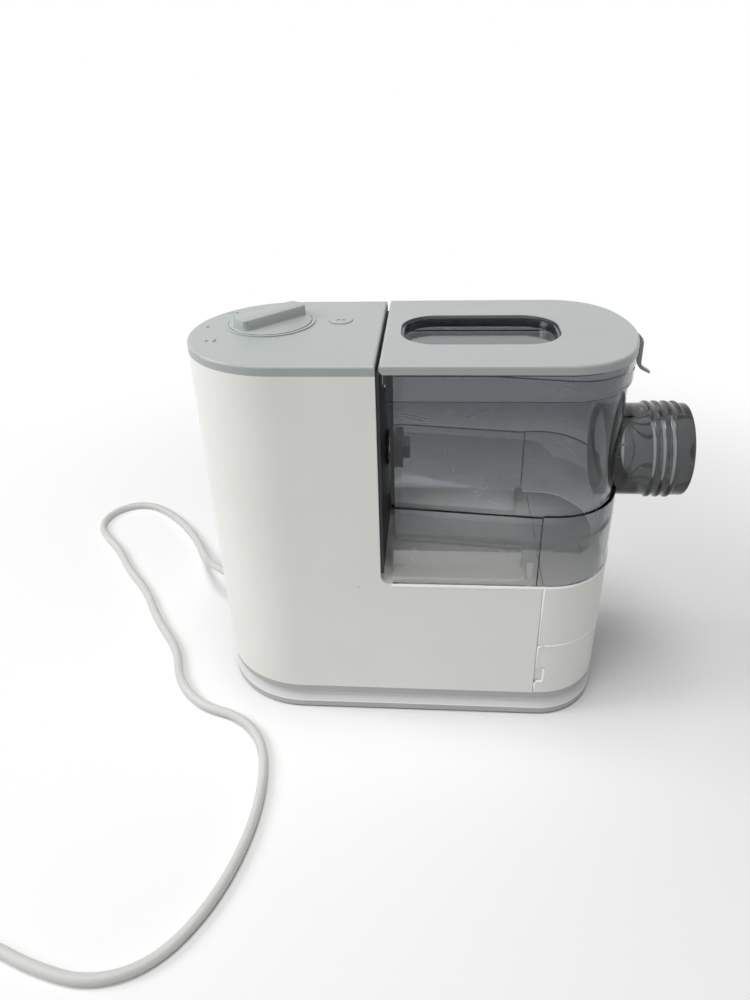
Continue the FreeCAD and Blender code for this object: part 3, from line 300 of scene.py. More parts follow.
def body_front(inset):
    """The body's plan from one side seam round the front to the other: corner, face and corner arcs."""
    corner_y = HALF_WIDTH - CORNER_RADIUS
    lean = math.asin(corner_y / (FACE_RADIUS - CORNER_RADIUS))
    face_x = FRONT_END - FACE_RADIUS
    corner_x = face_x + (FACE_RADIUS - CORNER_RADIUS) * math.cos(lean)
    corner = CORNER_RADIUS - inset
    return (arc(corner_x, -corner_y, corner, -math.pi / 2, -lean)
            + arc(face_x, 0, FACE_RADIUS - inset, -lean, lean)
            + arc(corner_x, corner_y, corner, lean, math.pi / 2))


def base_rim(form):
    back = arc(BACK_END + HALF_WIDTH, 0, HALF_WIDTH - RIM_SUNK, math.pi, 1.5 * math.pi)
    plan = back + body_front(RIM_SUNK) + [(x, -y) for x, y in reversed(back)]
    bead(form, [Vector((x, y, RIM_LEVEL)) for x, y in plan], RIM)


base_grey = plastic("base_grey", (0.48, 0.49, 0.485), (0.41, 0.42, 0.415), 0.4, gloss=(0.38, 0.52))
# Faces of the pan that look upward are painted lighter: painted light from above.
top_lit_tree = base_grey.node_tree
facing = top_lit_tree.nodes.new("ShaderNodeNewGeometry")
facing_parts = top_lit_tree.nodes.new("ShaderNodeSeparateXYZ")
top_lit_tree.links.new(facing.outputs["Normal"], facing_parts.inputs[0])
upward = top_lit_tree.nodes.new("ShaderNodeMapRange")
upward.inputs["From Min"].default_value = TOP_LIGHT_STARTS
upward.inputs["From Max"].default_value = TOP_LIGHT_FULL
top_lit_tree.links.new(facing_parts.outputs["Z"], upward.inputs["Value"])
laid_over(base_grey, upward.outputs[0], TOP_LIGHT_COLOUR)
paint(base_grey, "base_pan")
# The rim's light grey, far brighter than the pan, is a painted highlight along the flange's edge.
base_rim_highlight = plastic("base_rim_highlight", (0.84, 0.85, 0.84), (0.76, 0.77, 0.76), 0.3, gloss=(0.25, 0.35), bump=0.02)
new_piece("base_rim", base_rim, base_rim_highlight, "machine")
paint(plastic("foot_rubber", (0.05, 0.05, 0.05), (0.09, 0.09, 0.09), 0.5, gloss=(0.7, 0.85)), "rubber_feet")

# Drive train and electrics inside the column: a motor, and two gear stages carried by steel plates.
# Shafts, plates and screws are turned or stamped steel, the bushes sintered bronze, the wheels moulded nylon.
# The control board hangs from posts under the panel.
steel = plastic("turned_steel", (0.55, 0.55, 0.55), (0.4, 0.4, 0.4), 0.5, gloss=(0.25, 0.4), metal=1.0)
paint(steel, "motor_shaft", "lay_shaft", "drive_shaft", "hinge_pins", "gear_plate_rear", "gear_plate_front",
      "gear_spacers", "gear_screws", "plug_pins")
motor_steel = plastic("motor_steel", (0.3, 0.31, 0.33), (0.2, 0.2, 0.2), 0.5, metal=1.0)
paint(motor_steel, "motor_can", "motor_rotor", "board_capacitor")
bush_bronze = plastic("bush_bronze", (0.55, 0.38, 0.16), (0.4, 0.26, 0.1), 0.5, metal=1.0)
paint(bush_bronze, "motor_bushes", "lay_bushes", "drive_bushes")
wheel_nylon = plastic("wheel_nylon", (0.72, 0.69, 0.6), (0.62, 0.58, 0.5), 0.4)
paint(wheel_nylon, "motor_pinion", "lay_wheel", "lay_pinion", "drive_wheel")
board_laminate = plastic("board_laminate", (0.03, 0.17, 0.07), (0.02, 0.1, 0.04), 0.4)
paint(board_laminate, "control_board", "board_posts")

# Housing, nose cover and drawer: warm white satin ABS, with small dark specks and faint stains from use.
# The drawer front and the nose cover meet the housing at fine open seams.
# The bay's floor pad is stained from use, and the drawer's tray is a plain grey-white moulding.
HOUSING_WHITE = (0.83, 0.825, 0.79)
SPECK_SHADE, SPECK_SCALE = 0.55, 55


def scuff_marks():
    """Shared wear: short hair scratches and small dark specks, as masks."""
    group = bpy.data.node_groups.new("scuff_marks", "ShaderNodeTree")
    face = group.interface
    face.new_socket(name="Scale", in_out="INPUT", socket_type="NodeSocketFloat")
    face.new_socket(name="Scratches", in_out="OUTPUT", socket_type="NodeSocketFloat")
    face.new_socket(name="Specks", in_out="OUTPUT", socket_type="NodeSocketFloat")
    entry = group.nodes.new("NodeGroupInput")
    leave = group.nodes.new("NodeGroupOutput")
    where = group.nodes.new("ShaderNodeTexCoord")

    def mapped(texture, vector, scale_by, low, high, output):
        size = group.nodes.new("ShaderNodeMath")
        size.operation = "MULTIPLY"
        size.inputs[1].default_value = scale_by
        group.links.new(entry.outputs["Scale"], size.inputs[0])
        group.links.new(size.outputs[0], texture.inputs["Scale"])
        group.links.new(vector, texture.inputs["Vector"])
        ramp = group.nodes.new("ShaderNodeMapRange")
        ramp.inputs["From Min"].default_value = low
        ramp.inputs["From Max"].default_value = high
        group.links.new(texture.outputs[output], ramp.inputs["Value"])
        return ramp.outputs[0]

    def within(marks, places, output):
        both = group.nodes.new("ShaderNodeMath")
        both.operation = "MULTIPLY"
        group.links.new(marks, both.inputs[0])
        group.links.new(places, both.inputs[1])
        group.links.new(both.outputs[0], leave.inputs[output])

    plain = where.outputs["Object"]
    stretch = group.nodes.new("ShaderNodeMapping")
    stretch.inputs["Rotation"].default_value = (0.4, 0.7, 0.3)
    stretch.inputs["Scale"].default_value = (0.35, 1.0, 0.8)
    group.links.new(plain, stretch.inputs["Vector"])
    lines = group.nodes.new("ShaderNodeTexVoronoi")
    lines.feature = "DISTANCE_TO_EDGE"
    cells = group.nodes.new("ShaderNodeTexVoronoi")
    patches = group.nodes.new("ShaderNodeTexNoise")
    clusters = group.nodes.new("ShaderNodeTexNoise")
    hairs = mapped(lines, stretch.outputs["Vector"], scale_by=1.0, low=0.006, high=0.001, output="Distance")
    hairy = mapped(patches, plain, scale_by=1.6, low=0.58, high=0.66, output="Fac")
    within(hairs, hairy, "Scratches")
    dots = mapped(cells, plain, scale_by=2.2, low=0.085, high=0.06, output="Distance")
    dotted = mapped(clusters, plain, scale_by=0.8, low=0.62, high=0.66, output="Fac")
    within(dots, dotted, "Specks")
    return group


scuffs = scuff_marks()


def worn(tree, scale):
    """Places the shared wear in a material."""
    wear = tree.nodes.new("ShaderNodeGroup")
    wear.node_tree = scuffs
    wear.inputs["Scale"].default_value = scale
    return wear


white_abs = plastic("white_abs", HOUSING_WHITE, (0.76, 0.75, 0.71), 0.35, gloss=(0.30, 0.42), bump=0.03)
speck_mask = worn(white_abs.node_tree, SPECK_SCALE).outputs["Specks"]
laid_over(white_abs, speck_mask, [part * SPECK_SHADE for part in HOUSING_WHITE])
paint(white_abs, "housing_shell", "nose_cover", "drawer_front", "cradle_rails", "locating_posts")
stained_abs = plastic("stained_abs", (0.92, 0.91, 0.87), (0.66, 0.56, 0.42), 0.55,
                      gloss=(0.30, 0.42), bump=0.03)
paint(stained_abs, "bay_pad")
paint(plastic("tray_abs", (0.66, 0.66, 0.64), (0.6, 0.6, 0.58)), "drawer_tray")

# Seam beads: the rounded, light-catching rims of the drawer front, the nose cover and the bay's edge.
# Each is moulded with its cover, and the drawer's finger notch has one too.
# Their white is painted brighter than the housing's, as a painted highlight along the rims.
nose_low, nose_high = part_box("nose_cover")
drawer_low, drawer_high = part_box("drawer_front")
BEAD, BEAD_SUNK, LIP_SUNK = 0.0011, 0.00075, 0.0005
BEAD_SIDE, LIP_SIDE = HALF_WIDTH - BEAD_SUNK, HALF_WIDTH - LIP_SUNK
SEAM_BEAD = nose_low[0] + 0.000855
LIP_LEVEL, LIP_FOOT, LIP_CORNER = drawer_high[2] - 0.0007, drawer_low[2] + 0.0012, 0.0030
NOTCH_LOW, NOTCH_HIGH, NOTCH_END, NOTCH_CORNER = 0.034, 0.049, SEAM_BEAD + 0.0059, 0.002
NOSE_FOOT, BAY_EDGE, BAY_START = nose_low[2] + 0.0012, nose_high[2] - 0.0009, BACK_END + 0.1405


def drawer_rim(form):
    corner = arc(SEAM_BEAD + LIP_CORNER, LIP_LEVEL - LIP_CORNER, LIP_CORNER, math.pi, math.pi / 2, steps=6)
    upright = [(SEAM_BEAD, NOTCH_HIGH)] + corner
    near = [Vector((x, -LIP_SIDE, z)) for x, z in upright]
    front = [Vector((x, y, LIP_LEVEL)) for x, y in body_front(LIP_SUNK)]
    far = [Vector((x, LIP_SIDE, z)) for x, z in reversed(upright)]
    bead(form, near + front + far, BEAD)
    turn = arc(NOTCH_END - NOTCH_CORNER, NOTCH_LOW + NOTCH_CORNER, NOTCH_CORNER, 0, -math.pi / 2, steps=6)
    notch = [(NOTCH_END, NOTCH_HIGH - NOTCH_CORNER / 2)] + turn + [(SEAM_BEAD, NOTCH_LOW)]
    for side in (-BEAD_SIDE, BEAD_SIDE):
        bead(form, [Vector((SEAM_BEAD, side, z)) for z in (LIP_FOOT, NOTCH_LOW)], BEAD)
        bead(form, [Vector((x, side, z)) for x, z in notch], BEAD)


def nose_rim(form):
    for side in (-BEAD_SIDE, BEAD_SIDE):
        bead(form, [Vector((SEAM_BEAD, side, z)) for z in (NOSE_FOOT, BAY_EDGE)], BEAD)
    bay = [(BAY_START, -BEAD_SIDE)] + body_front(BEAD_SUNK) + [(BAY_START, BEAD_SIDE)]
    bead(form, [Vector((x, y, BAY_EDGE)) for x, y in bay], BEAD)


# A brighter copy of the housing white: painted highlight on the beads.
rim_highlight_white = plastic("rim_highlight_white", (0.93, 0.925, 0.90), (0.88, 0.87, 0.84), 0.3, gloss=(0.2, 0.3), bump=0.02)
new_piece("drawer_rim", drawer_rim, rim_highlight_white, "drawer")
new_piece("nose_rim", nose_rim, rim_highlight_white, "machine")

# Bulkhead and other black mouldings: matt black ABS and rubber, most of it out of sight.
# The bulkhead closes the column's front; the grey dog and bush couple the drive to the chamber.
black_abs = plastic("black_abs", (0.012, 0.014, 0.016), (0.03, 0.03, 0.03), 0.5, gloss=(0.4, 0.6))
paint(black_abs, "bulkhead", "selector_switch", "button_switch", "lid_switch", "board_relay",
      "motor_saddle", "drawer_rails", "shaft_seal", "lid_seal")
paint(plastic("coupling_grey", (0.11, 0.12, 0.125), (0.08, 0.09, 0.09), 0.4), "chamber_bush", "drive_dog")

# Gap strip: a thin black strip on the panel's front edge, standing in as painted shade in the gap behind the
# lid.
# It shows as a dark line between the two caps.
panel_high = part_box("control_panel")[1]
STRIP_SIZE = (0.0004, 0.128, 0.016)
STRIP_PLACE = (panel_high[0] + 0.00025, 0, 0.2785)


def slab(form, size, place):
    """A straight-sided slab."""
    made = bmesh.ops.create_cube(form, size=1)["verts"]
    bmesh.ops.scale(form, vec=size, verts=made)
    bmesh.ops.translate(form, vec=place, verts=made)


def gap_shade_strip(form):
    slab(form, STRIP_SIZE, STRIP_PLACE)


new_piece("gap_shade_strip", gap_shade_strip, black_abs, "machine")

# Control panel, dial seat, start button and lid frame: light cool-grey satin ABS caps of one colour.
# The panel closes the column's top, and the lid frame swings on two pins at the chamber.
panel_grey = plastic("panel_grey", (0.385, 0.412, 0.405), (0.34, 0.365, 0.36), 0.35,
                     gloss=(0.34, 0.46), bump=0.04)
paint(panel_grey, "control_panel", "lid_frame", "start_button", "dial_ring")

# Lid tab: a narrow finger hook of darker grey ABS, moulded onto the lid's front edge.
# It stands off the lid, runs straight down and curls outward at its foot.
# Its spine is in millimetres from the tab's lower back corner: reach, height and thickness.
tab_low, tab_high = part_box("lid_tab")
TAB_SPINE = ((0.3, 27.3, 2.4), (2.0, 26.4, 2.7), (3.5, 24.6, 2.8), (4.3, 22.0, 2.8), (4.5, 15.0, 2.7),
             (4.6, 9.5, 2.6), (5.0, 7.0, 2.4), (6.2, 5.2, 2.2), (8.4, 3.7, 1.9), (12.5, 1.5, 1.5))
TAB_EDGE = 0.0004


def lid_lip(form):
    spine = [Vector((tab_low[0] + x / 1000, tab_low[2] + z / 1000)) for x, z, thick in TAB_SPINE]
    halves = [thick / 2000 for x, z, thick in TAB_SPINE]
    ways = [(after - before).normalized() for before, after in zip(spine, spine[1:])]
    ways = [ways[0]] + [(one + two).normalized() for one, two in zip(ways, ways[1:])] + [ways[-1]]
    rows = []
    for y in (tab_low[1], tab_high[1]):
        for side in (1, -1):
            rows.append([form.verts.new((at.x - side * way.y * half, y, at.y + side * way.x * half))
                         for at, way, half in zip(spine, ways, halves)])
    near_in, near_out, far_in, far_out = rows
    for one, two in ((near_in, near_out), (far_out, far_in), (near_out, far_out), (far_in, near_in)):
        for at in range(len(spine) - 1):
            form.faces.new((one[at], one[at + 1], two[at + 1], two[at]))
    for at in (0, -1):
        form.faces.new((near_in[at], near_out[at], far_out[at], far_in[at]))


def bevelled(piece, width, segments=3, angle=35):
    """Breaks the sharp edges of a piece, as moulds do."""
    edge = piece.modifiers.new("broken_edges", "BEVEL")
    edge.width = width
    edge.segments = segments
    edge.limit_method = "ANGLE"
    edge.angle_limit = math.radians(angle)
    edge.harden_normals = True


tab_grey = plastic("tab_grey", (0.30, 0.315, 0.31), (0.25, 0.26, 0.26), 0.4, gloss=(0.36, 0.5))
lip = new_piece("lid_lip", lid_lip, tab_grey, "lid")
bevelled(lip, TAB_EDGE)
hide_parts("lid_tab")

# Program dial: a flat disc with a tall grip bar across it, moulded in one piece in the panel's grey ABS.
# Its stem reaches down to the selector switch, and it turns inside a fixed ring.
DIAL_PLACE = Vector((BACK_END + 0.053, 0.0175, 0))
dial_low, dial_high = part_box("dial_knob")
DIAL_RADIUS = (dial_high[0] - dial_low[0]) / 2
DISC_LOW, DISC_TOP = 0.2889, 0.2898
BAR_TOP, BAR_HALF, BAR_CORNER = dial_high[2], 0.0085, 0.0045
BAR_TURN = math.radians(46)
BAR_REACH = DIAL_RADIUS - 0.0012
DIAL_EDGE = 0.00025


def dial(form):
    def layer(outline, z):
        return [form.verts.new((DIAL_PLACE.x + x, DIAL_PLACE.y + y, z)) for x, y in outline]

    def skinned(layers):
        for low, high in zip(layers, layers[1:]):
            for at in range(len(low)):
                after = (at + 1) % len(low)
                form.faces.new((low[at], low[after], high[after], high[at]))
        form.faces.new(reversed(layers[0]))
        form.faces.new(layers[-1])

    def disc(radius, around=96):
        turns = [2 * math.pi * at / around for at in range(around)]
        return [(radius * math.cos(turn), radius * math.sin(turn)) for turn in turns]

    def grip(half, reach):
        """The grip bar's plan: two straight sides, ends that follow the disc, and rounded corners."""
        across = half - BAR_CORNER
        along = math.sqrt((reach - BAR_CORNER) ** 2 - across ** 2)
        lean = math.atan2(across, along)
        end = (arc(along, -across, BAR_CORNER, -math.pi / 2, -lean, steps=8)
               + arc(along, across, BAR_CORNER, lean, math.pi / 2, steps=8))
        return [Matrix.Rotation(half_turn + BAR_TURN, 2) @ Vector(place)
                for half_turn in (0, math.pi) for place in end]

    disc_steps = ((0.0002, DISC_LOW), (0, DISC_LOW + 0.0002), (0, DISC_TOP - 0.0003),
                  (0.0001, DISC_TOP - 0.0001), (0.0003, DISC_TOP))
    bar_steps = ((0.0006, 0, DISC_TOP - 0.0005), (0.0001, 0.0003, DISC_TOP + 0.0006),
                 (0, 0.0005, DISC_TOP + 0.0012), (-0.0003, 0.0009, BAR_TOP - 0.0005),
                 (-0.0005, 0.0011, BAR_TOP - 0.0002), (-0.0009, 0.0015, BAR_TOP))
    skinned([layer(disc(DIAL_RADIUS - cut), z) for cut, z in disc_steps])
    skinned([layer(grip(BAR_HALF + wide, BAR_REACH - cut), z) for wide, cut, z in bar_steps])


dial_grey = plastic("dial_grey", (0.385, 0.412, 0.405), (0.34, 0.365, 0.36), 0.35, gloss=(0.34, 0.48))
dial_piece = new_piece("dial_grip", dial, dial_grey, "dial")
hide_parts("dial_knob")
bevelled(dial_piece, DIAL_EDGE, segments=2)

# Panel marks: generic program marks round the dial and a start sign on the button.
# They are printed in dark ink on the finished caps, a hair above the surface.
# Places are from the body's back end: a dot has a radius, a bar a length, a width and a turn.
button_low, button_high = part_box("start_button")
BUTTON_MIDDLE = ((button_low[0] + button_high[0]) / 2, (button_low[1] + button_high[1]) / 2)
INK = 0.00005
DOTS = ((0.0238, 0.0402, 0.0011), (0.0103, 0.0080, 0.0013), (0.0222, -0.0216, 0.0013),
        (0.0222, -0.0188, 0.0010), (0.0640, -0.0160, 0.0006))
BARS = ((0.0200, 0.0396, 0.0036, 0.0008, 20), (0.0168, -0.0209, 0.0040, 0.0007, 60),
        (0.0168, -0.0209, 0.0040, 0.0007, -60))
SIGN_HALF, SIGN_BACK, SIGN_TIP = 0.0018, -0.0028, 0.0002
SIGN_BARS, SIGN_BAR_WIDE = (0.0012, 0.0026), 0.0007


def panel_prints(form):
    level = panel_high[2] + INK
    square = ((-1, -1), (1, -1), (1, 1), (-1, 1))
    for x, y, radius in DOTS:
        made = bmesh.ops.create_circle(form, cap_ends=True, segments=20, radius=radius)["verts"]
        bmesh.ops.translate(form, vec=(BACK_END + x, y, level), verts=made)
    for x, y, long, wide, turn in BARS:
        lean = Matrix.Rotation(math.radians(turn), 3, "Z")
        corners = [lean @ Vector((a * long / 2, b * wide / 2, 0)) for a, b in square]
        form.faces.new([form.verts.new(corner + Vector((BACK_END + x, y, level))) for corner in corners])


def button_sign(form):
    def flat(corners):
        form.faces.new([form.verts.new((BUTTON_MIDDLE[0] + x, BUTTON_MIDDLE[1] + y, button_high[2] + INK))
                        for x, y in corners])

    flat(((SIGN_BACK, -SIGN_HALF), (SIGN_TIP, 0), (SIGN_BACK, SIGN_HALF)))
    for near in SIGN_BARS:
        far = near + SIGN_BAR_WIDE
        flat(((near, -SIGN_HALF), (far, -SIGN_HALF), (far, SIGN_HALF), (near, SIGN_HALF)))


print_dark = plastic("print_dark", (0.10, 0.105, 0.11), (0.13, 0.13, 0.13), 0.3)
new_piece("panel_prints", panel_prints, print_dark, "machine")
new_piece("button_sign", button_sign, print_dark, "button")

# Mixing chamber and lid window: smoke-tinted clear plastic, polished in the mould.
# The chamber is a tub, a collar and side plates bonded into one. Its colour is painted darker upward,
# as painted shade from its dark inside, paler at the foot as painted light, and paler again on the collar.
# Hair scratches and a dull film from flour show on the sides.
SCRATCH_SCALE, SCRATCH_ROUGH = 28, 0.6
TINT_LOW, TINT_HIGH = 0.120, 0.290
# Colour stops by height: darker upward as painted shade, paler at the foot as painted light.
CHAMBER_SHADE_TINTS = ((0.12, (0.93, 0.93, 0.93)), (0.38, (0.68, 0.70, 0.71)), (0.50, (0.41, 0.43, 0.45)),
                 (0.84, (0.28, 0.295, 0.31)), (0.855, (0.55, 0.57, 0.58)))


def clear_plastic(name, smoke, density, tints, film):
    """Clear moulded plastic: smoke in its thickness, a tint that follows height, hair scratches."""
    made = bpy.data.materials.new(name)
    made.use_nodes = True
    tree = made.node_tree
    shader = tree.nodes["Principled BSDF"]
    place = tree.nodes.new("ShaderNodeTexCoord")
    parts = tree.nodes.new("ShaderNodeSeparateXYZ")
    tree.links.new(place.outputs["Object"], parts.inputs[0])
    height = tree.nodes.new("ShaderNodeMapRange")
    height.inputs["From Min"].default_value = TINT_LOW
    height.inputs["From Max"].default_value = TINT_HIGH
    tree.links.new(parts.outputs["Z"], height.inputs["Value"])
    tint = tree.nodes.new("ShaderNodeValToRGB")
    stops = tint.color_ramp.elements
    for stop, (position, colour) in zip(stops, (tints[0], tints[-1])):
        stop.position = position
        stop.color = (*colour, 1)
    for position, colour in tints[1:-1]:
        stops.new(position).color = (*colour, 1)
    tree.links.new(height.outputs[0], tint.inputs["Fac"])
    tree.links.new(tint.outputs["Color"], shader.inputs["Base Color"])
    shader.inputs["Transmission Weight"].default_value = 1.0
    shader.inputs["IOR"].default_value = 1.45
    wear = worn(tree, SCRATCH_SCALE)
    dull = tree.nodes.new("ShaderNodeMapRange")
    dull.inputs["To Min"].default_value = film
    dull.inputs["To Max"].default_value = SCRATCH_ROUGH
    tree.links.new(wear.outputs["Scratches"], dull.inputs["Value"])
    tree.links.new(dull.outputs[0], shader.inputs["Roughness"])
    dent = tree.nodes.new("ShaderNodeBump")
    dent.inputs["Strength"].default_value = 0.25
    dent.inputs["Distance"].default_value = 0.0002
    tree.links.new(wear.outputs["Scratches"], dent.inputs["Height"])
    tree.links.new(dent.outputs["Normal"], shader.inputs["Normal"])
    paths = tree.nodes.new("ShaderNodeLightPath")
    bare = tree.nodes.new("ShaderNodeBsdfTransparent")
    choose = tree.nodes.new("ShaderNodeMixShader")
    tree.links.new(paths.outputs["Is Shadow Ray"], choose.inputs["Fac"])
    tree.links.new(shader.outputs[0], choose.inputs[1])
    tree.links.new(bare.outputs[0], choose.inputs[2])
    tree.links.new(choose.outputs[0], tree.nodes["Material Output"].inputs["Surface"])
    body = tree.nodes.new("ShaderNodeVolumeAbsorption")
    body.inputs["Color"].default_value = (*smoke, 1)
    body.inputs["Density"].default_value = density
    tree.links.new(body.outputs[0], tree.nodes["Material Output"].inputs["Volume"])
    return made


smoke_clear = clear_plastic("smoke_clear", (0.16, 0.19, 0.21), 100, CHAMBER_SHADE_TINTS, film=0.02)
paint(smoke_clear, "mixing_chamber", "lid_window")

# Window lining: a thin dark rubber gasket, pressed between the lid's opening and the clear tray let into it.
# It shows as a dark border round the window.
window_low, window_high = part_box("lid_window")
WINDOW_PLAY, WINDOW_CORNER = 0.0002, 0.024
WINDOW_BACK, WINDOW_FRONT = window_low[0] - WINDOW_PLAY, window_high[0] + WINDOW_PLAY
WINDOW_HALF = window_high[1] + WINDOW_PLAY
LINING_OUT, LINING_IN = 0.00004, 0.00016
LINING_LOW, LINING_HIGH = 0.2797, 0.2887


def window_lining(form):
    def outline(inset, z):
        across = WINDOW_HALF - WINDOW_CORNER
        middles = ((WINDOW_FRONT - WINDOW_CORNER, across), (WINDOW_BACK + WINDOW_CORNER, across),
                   (WINDOW_BACK + WINDOW_CORNER, -across), (WINDOW_FRONT - WINDOW_CORNER, -across))
        row = []
        for quarter, (x, y) in enumerate(middles):
            first = math.pi / 2 * quarter
            corner = arc(x, y, WINDOW_CORNER - inset, first, first + math.pi / 2)
            row += [form.verts.new((*place, z)) for place in corner]
        return row

    rows = [outline(LINING_OUT, LINING_LOW), outline(LINING_OUT, LINING_HIGH),
            outline(LINING_IN, LINING_HIGH), outline(LINING_IN, LINING_LOW)]
    for one, two in zip(rows, rows[1:] + rows[:1]):
        for at in range(len(one)):
            after = (at + 1) % len(one)
            form.faces.new((one[at], one[after], two[after], two[at]))


new_piece("window_lining", window_lining, black_abs, "lid")

# Dark edges of the chamber: painted shade as thin dark strips at the cut ends of its side plates and under
# its collar.
# The thick plastic carries no light to the eye there, so the strips stand in for that shade as fine dark
# lines.
PLATE_END, PLATE_SIDE, PLATE_LEVEL = BACK_END + 0.2424, 0.06575, 0.1528
PLATE_SIZE = (0.0007, 0.0023, 0.0560)
COLLAR_SHADE_BACK, COLLAR_SHADE_LOW, COLLAR_SHADE_HIGH = BACK_END + 0.1392, 0.2644, 0.2649
COLLAR_SHADE_OUT, COLLAR_SHADE_IN = 0.0017, 0.0028


def plate_end_shade(form):
    for side in (-PLATE_SIDE, PLATE_SIDE):
        slab(form, PLATE_SIZE, (PLATE_END, side, PLATE_LEVEL))


def collar_shade_line(form):
    def outline(inset, z):
        side = HALF_WIDTH - inset
        plan = [(COLLAR_SHADE_BACK, -side)] + body_front(inset) + [(COLLAR_SHADE_BACK, side)]
        return [form.verts.new((x, y, z)) for x, y in plan]

    rows = [outline(COLLAR_SHADE_OUT, COLLAR_SHADE_LOW), outline(COLLAR_SHADE_OUT, COLLAR_SHADE_HIGH),
            outline(COLLAR_SHADE_IN, COLLAR_SHADE_HIGH), outline(COLLAR_SHADE_IN, COLLAR_SHADE_LOW)]
    for one, two in zip(rows, rows[1:] + rows[:1]):
        for at in range(len(one) - 1):
            form.faces.new((one[at], one[at + 1], two[at + 1], two[at]))
    for at in (0, -1):
        form.faces.new([row[at] for row in rows])


# Near-black strips for the painted shade at the chamber's edges.
edge_dark = plastic("edge_dark", (0.012, 0.014, 0.016), (0.02, 0.02, 0.022), 0.4, gloss=(0.15, 0.25))
new_piece("plate_end_shade", plate_end_shade, edge_dark, "chamber")
new_piece("collar_shade_line", collar_shade_line, edge_dark, "chamber")

# Outlet tube: a smoke-clear sleeve with three turns of a rounded outer thread for the die's ring nut.
# It is moulded in one piece, polished, and set into the chamber's front.
tube_low, tube_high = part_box("outlet_tube")
TUBE_AXIS = (tube_low[2] + tube_high[2]) / 2
TUBE_RADIUS, TUBE_BORE = 0.033, 0.029
TUBE_TINTS = ((0.25, (0.34, 0.35, 0.355)), (0.70, (0.46, 0.47, 0.475)))
MOUTH_LONG, MOUTH_DEEP = 0.0012, 0.0008
THREAD_PROUD = (tube_high[2] - tube_low[2]) / 2 - TUBE_RADIUS
THREAD_START, THREAD_PITCH, THREAD_TURNS = tube_low[0] + 0.0300, 0.0066, 3.3
THREAD_HALF, THREAD_ROUND, THREAD_RUNOUT = 0.30, 2.5, 0.12


def outlet(form):
    steps, around = 150, 160

    def thread(x, round_share):
        """The thread's share of its full height at a place along and round the tube."""
        wound = (x - THREAD_START) / THREAD_PITCH - round_share
        turns = round(wound) + round_share
        if not 0 <= turns <= THREAD_TURNS:
            return 0.0
        ridge = max(0.0, 1 - (abs(wound - round(wound)) / THREAD_HALF) ** THREAD_ROUND)
        return ridge * min(1.0, min(turns, THREAD_TURNS - turns) / THREAD_RUNOUT)

    def ring_point(x, radius, at):
        turn = 2 * math.pi * at / around
        return form.verts.new((x, radius * math.cos(turn), TUBE_AXIS + radius * math.sin(turn)))

    rows = []
    for ahead in range(steps + 1):
        x = tube_low[0] + (tube_high[0] - tube_low[0]) * ahead / steps
        ease = min(1.0, (tube_high[0] - x) / MOUTH_LONG)
        plain = TUBE_RADIUS - MOUTH_DEEP * (1 - ease) ** 2
        rows.append([ring_point(x, plain + THREAD_PROUD * thread(x, at / around), at)
                     for at in range(around)])
    for x in (tube_high[0], tube_low[0]):
        rows.append([ring_point(x, TUBE_BORE, at) for at in range(around)])
    for row, ahead in zip(rows, rows[1:] + rows[:1]):
        for at in range(around):
            after = (at + 1) % around
            form.faces.new((row[at], row[after], ahead[after], ahead[at]))


tube_clear = clear_plastic("tube_clear", (0.16, 0.18, 0.19), 110, TUBE_TINTS, film=0.01)
outlet_piece = new_piece("outlet_sleeve", outlet, tube_clear, "chamber")
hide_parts("outlet_tube")

# Mains lead: white round PVC lead, 7 mm thick, that leaves the back of the column through its strain relief.
# It lies loose on the table in long bends and ends in a flat two-pin plug.
# Its route is in millimetres from the body's back end.
LEAD_DIAMETER = 0.007
GLAND_TURN, GLAND_LONG, GLAND_LEVEL = math.radians(145), 0.028, 0.034
GLAND_REACH = HALF_WIDTH + GLAND_LONG
gland_tip = (BACK_END + HALF_WIDTH + GLAND_REACH * math.cos(GLAND_TURN), GLAND_REACH * math.sin(GLAND_TURN),
             GLAND_LEVEL)
LEAD_ROUTE = ((-34, 71.5, 33.5), (-50, 97, 20), (-64, 126, 7.5), (-80, 157, 3.6), (-100, 185, 3.6),
              (-123, 209, 3.6), (-146, 226, 3.6), (-167, 231, 3.6), (-186, 222.5, 3.6), (-197, 204.5, 3.6),
              (-196.5, 183, 3.6), (-184, 165, 3.6), (-160, 140, 3.6), (-138, 106, 3.6), (-108, 72, 3.6),
              (-84, 30, 3.6), (-53, -9, 3.6), (-41, -47, 3.6), (-14, -75, 3.6), (20, -84, 3.6),
              (43, -108, 3.6), (51, -147, 3.6), (49, -192, 3.6), (36, -238, 3.6), (12, -274, 3.6),
              (-22, -287, 3.6), (-59, -280, 3.6), (-92, -268, 3.6), (-127, -262, 5.6), (-160, -268, 7.6))
route = [gland_tip] + [(BACK_END + x / 1000, y / 1000, z / 1000) for x, y, z in LEAD_ROUTE]
lead_curve = bpy.data.curves.new("mains_lead_skin", "CURVE")
lead_curve.dimensions = "3D"
lead_curve.bevel_depth = LEAD_DIAMETER / 2
lead_curve.bevel_resolution = 6
lead_curve.resolution_u = 10
lead_curve.use_fill_caps = True
lead_line = lead_curve.splines.new("NURBS")
lead_line.points.add(len(route) - 1)
for point, place in zip(lead_line.points, route):
    point.co = (*place, 1)
lead_line.order_u = 3
lead_line.use_endpoint_u = True
lead_white = plastic("lead_white", (0.60, 0.60, 0.58), (0.46, 0.46, 0.44), 0.5, grain=900, bump=0.04,
                     gloss=(0.4, 0.55))
lead_curve.materials.append(lead_white)
lead = bpy.data.objects.new("mains_lead_skin", lead_curve)
bpy.context.collection.objects.link(lead)
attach(lead, "machine")
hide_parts("mains_lead")

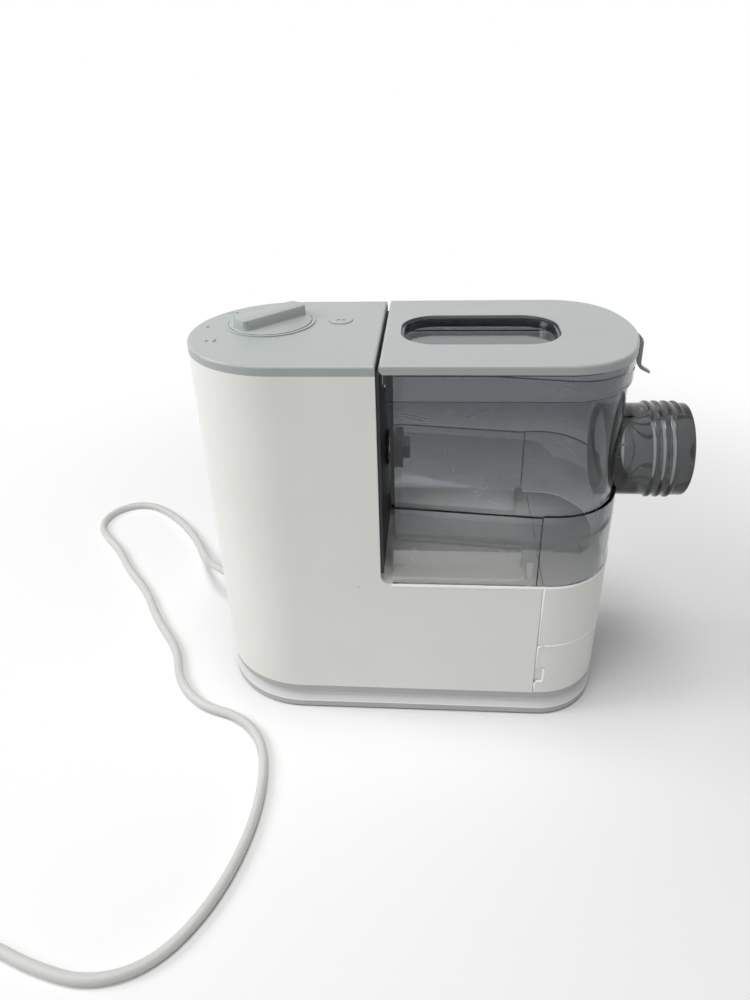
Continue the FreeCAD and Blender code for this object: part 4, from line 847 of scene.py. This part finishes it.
# Strain relief: a tapered, ribbed grey-white rubber sleeve that is pressed into the housing's back wall.
# The open ribs let the lead bend gently where it leaves the machine.
GLAND_ROOT, GLAND_END, GLAND_SEAT = 0.0074, 0.0049, 0.0025
RIB_COUNT, RIB_START, RIB_PITCH, RIB_DEPTH = 6, 0.003, 0.004, 0.0011
GROOVE_END, RIB_RISE, RIB_END = 0.0011, 0.0014, 0.0036
TIP_LONG, TIP_ROUND = 0.0006, 0.0008
UPRIGHT = Vector((0, 0, 1))
gland_way = Vector((math.cos(GLAND_TURN), math.sin(GLAND_TURN), 0))
wall_out = Vector(gland_tip) - gland_way * GLAND_LONG


def sleeve(form, sections, start, along, around=48):
    """Skins a row of rounded sections along a level line: place, half width, half height and squareness."""
    side = UPRIGHT.cross(along)
    rows = []
    for reach, wide, tall, square in sections:
        row = []
        for at in range(around):
            turn = 2 * math.pi * at / around
            across = math.copysign(abs(math.cos(turn)) ** square, math.cos(turn)) * wide
            above = math.copysign(abs(math.sin(turn)) ** square, math.sin(turn)) * tall
            row.append(form.verts.new(start + along * reach + side * across + UPRIGHT * above))
        rows.append(row)
    for low, high in zip(rows, rows[1:]):
        for at in range(around):
            after = (at + 1) % around
            form.faces.new((low[at], low[after], high[after], high[at]))
    form.faces.new(rows[0])
    form.faces.new(rows[-1])


def strain_relief(form):
    rounds = [(-GLAND_SEAT, GLAND_ROOT), (GLAND_SEAT, GLAND_ROOT)]
    for rib in range(RIB_COUNT):
        start = RIB_START + rib * RIB_PITCH
        outer = GLAND_ROOT + (GLAND_END - GLAND_ROOT) * (start + RIB_START) / GLAND_LONG
        groove = outer - RIB_DEPTH
        rounds += [(start, groove), (start + GROOVE_END, groove),
                   (start + RIB_RISE, outer), (start + RIB_END, outer)]
    rounds += [(GLAND_LONG - TIP_LONG, GLAND_END), (GLAND_LONG, GLAND_END - TIP_ROUND)]
    sleeve(form, [(reach, radius, radius, 1) for reach, radius in rounds], wall_out, gland_way)


relief = new_piece("strain_relief_sleeve", strain_relief, lead_white, "machine")
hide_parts("strain_relief")

# Plug: a flat two-pin plug with a waisted neck, moulded onto the lead's end in the same white PVC.
# Each section has its place along the plug, half width, half height and squareness.
PLUG_SECTIONS = ((0.0003, 0.0048, 0.0048, 1), (0.004, 0.0052, 0.0050, 1), (0.008, 0.0062, 0.0055, 0.9),
                 (0.012, 0.0095, 0.0062, 0.75), (0.016, 0.0140, 0.0068, 0.6), (0.021, 0.0164, 0.0073, 0.5),
                 (0.030, 0.0168, 0.0074, 0.45), (0.0365, 0.0164, 0.0072, 0.45),
                 (0.0376, 0.0158, 0.0066, 0.45))
plug_start = Vector(route[-1])
plug_way = plug_start - Vector(route[-2])
plug_way.z = 0
plug_way.normalize()


def plug(form):
    sleeve(form, PLUG_SECTIONS, plug_start, plug_way)


plug_piece = new_piece("plug_moulding", plug, lead_white, "machine")
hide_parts("plug_body")
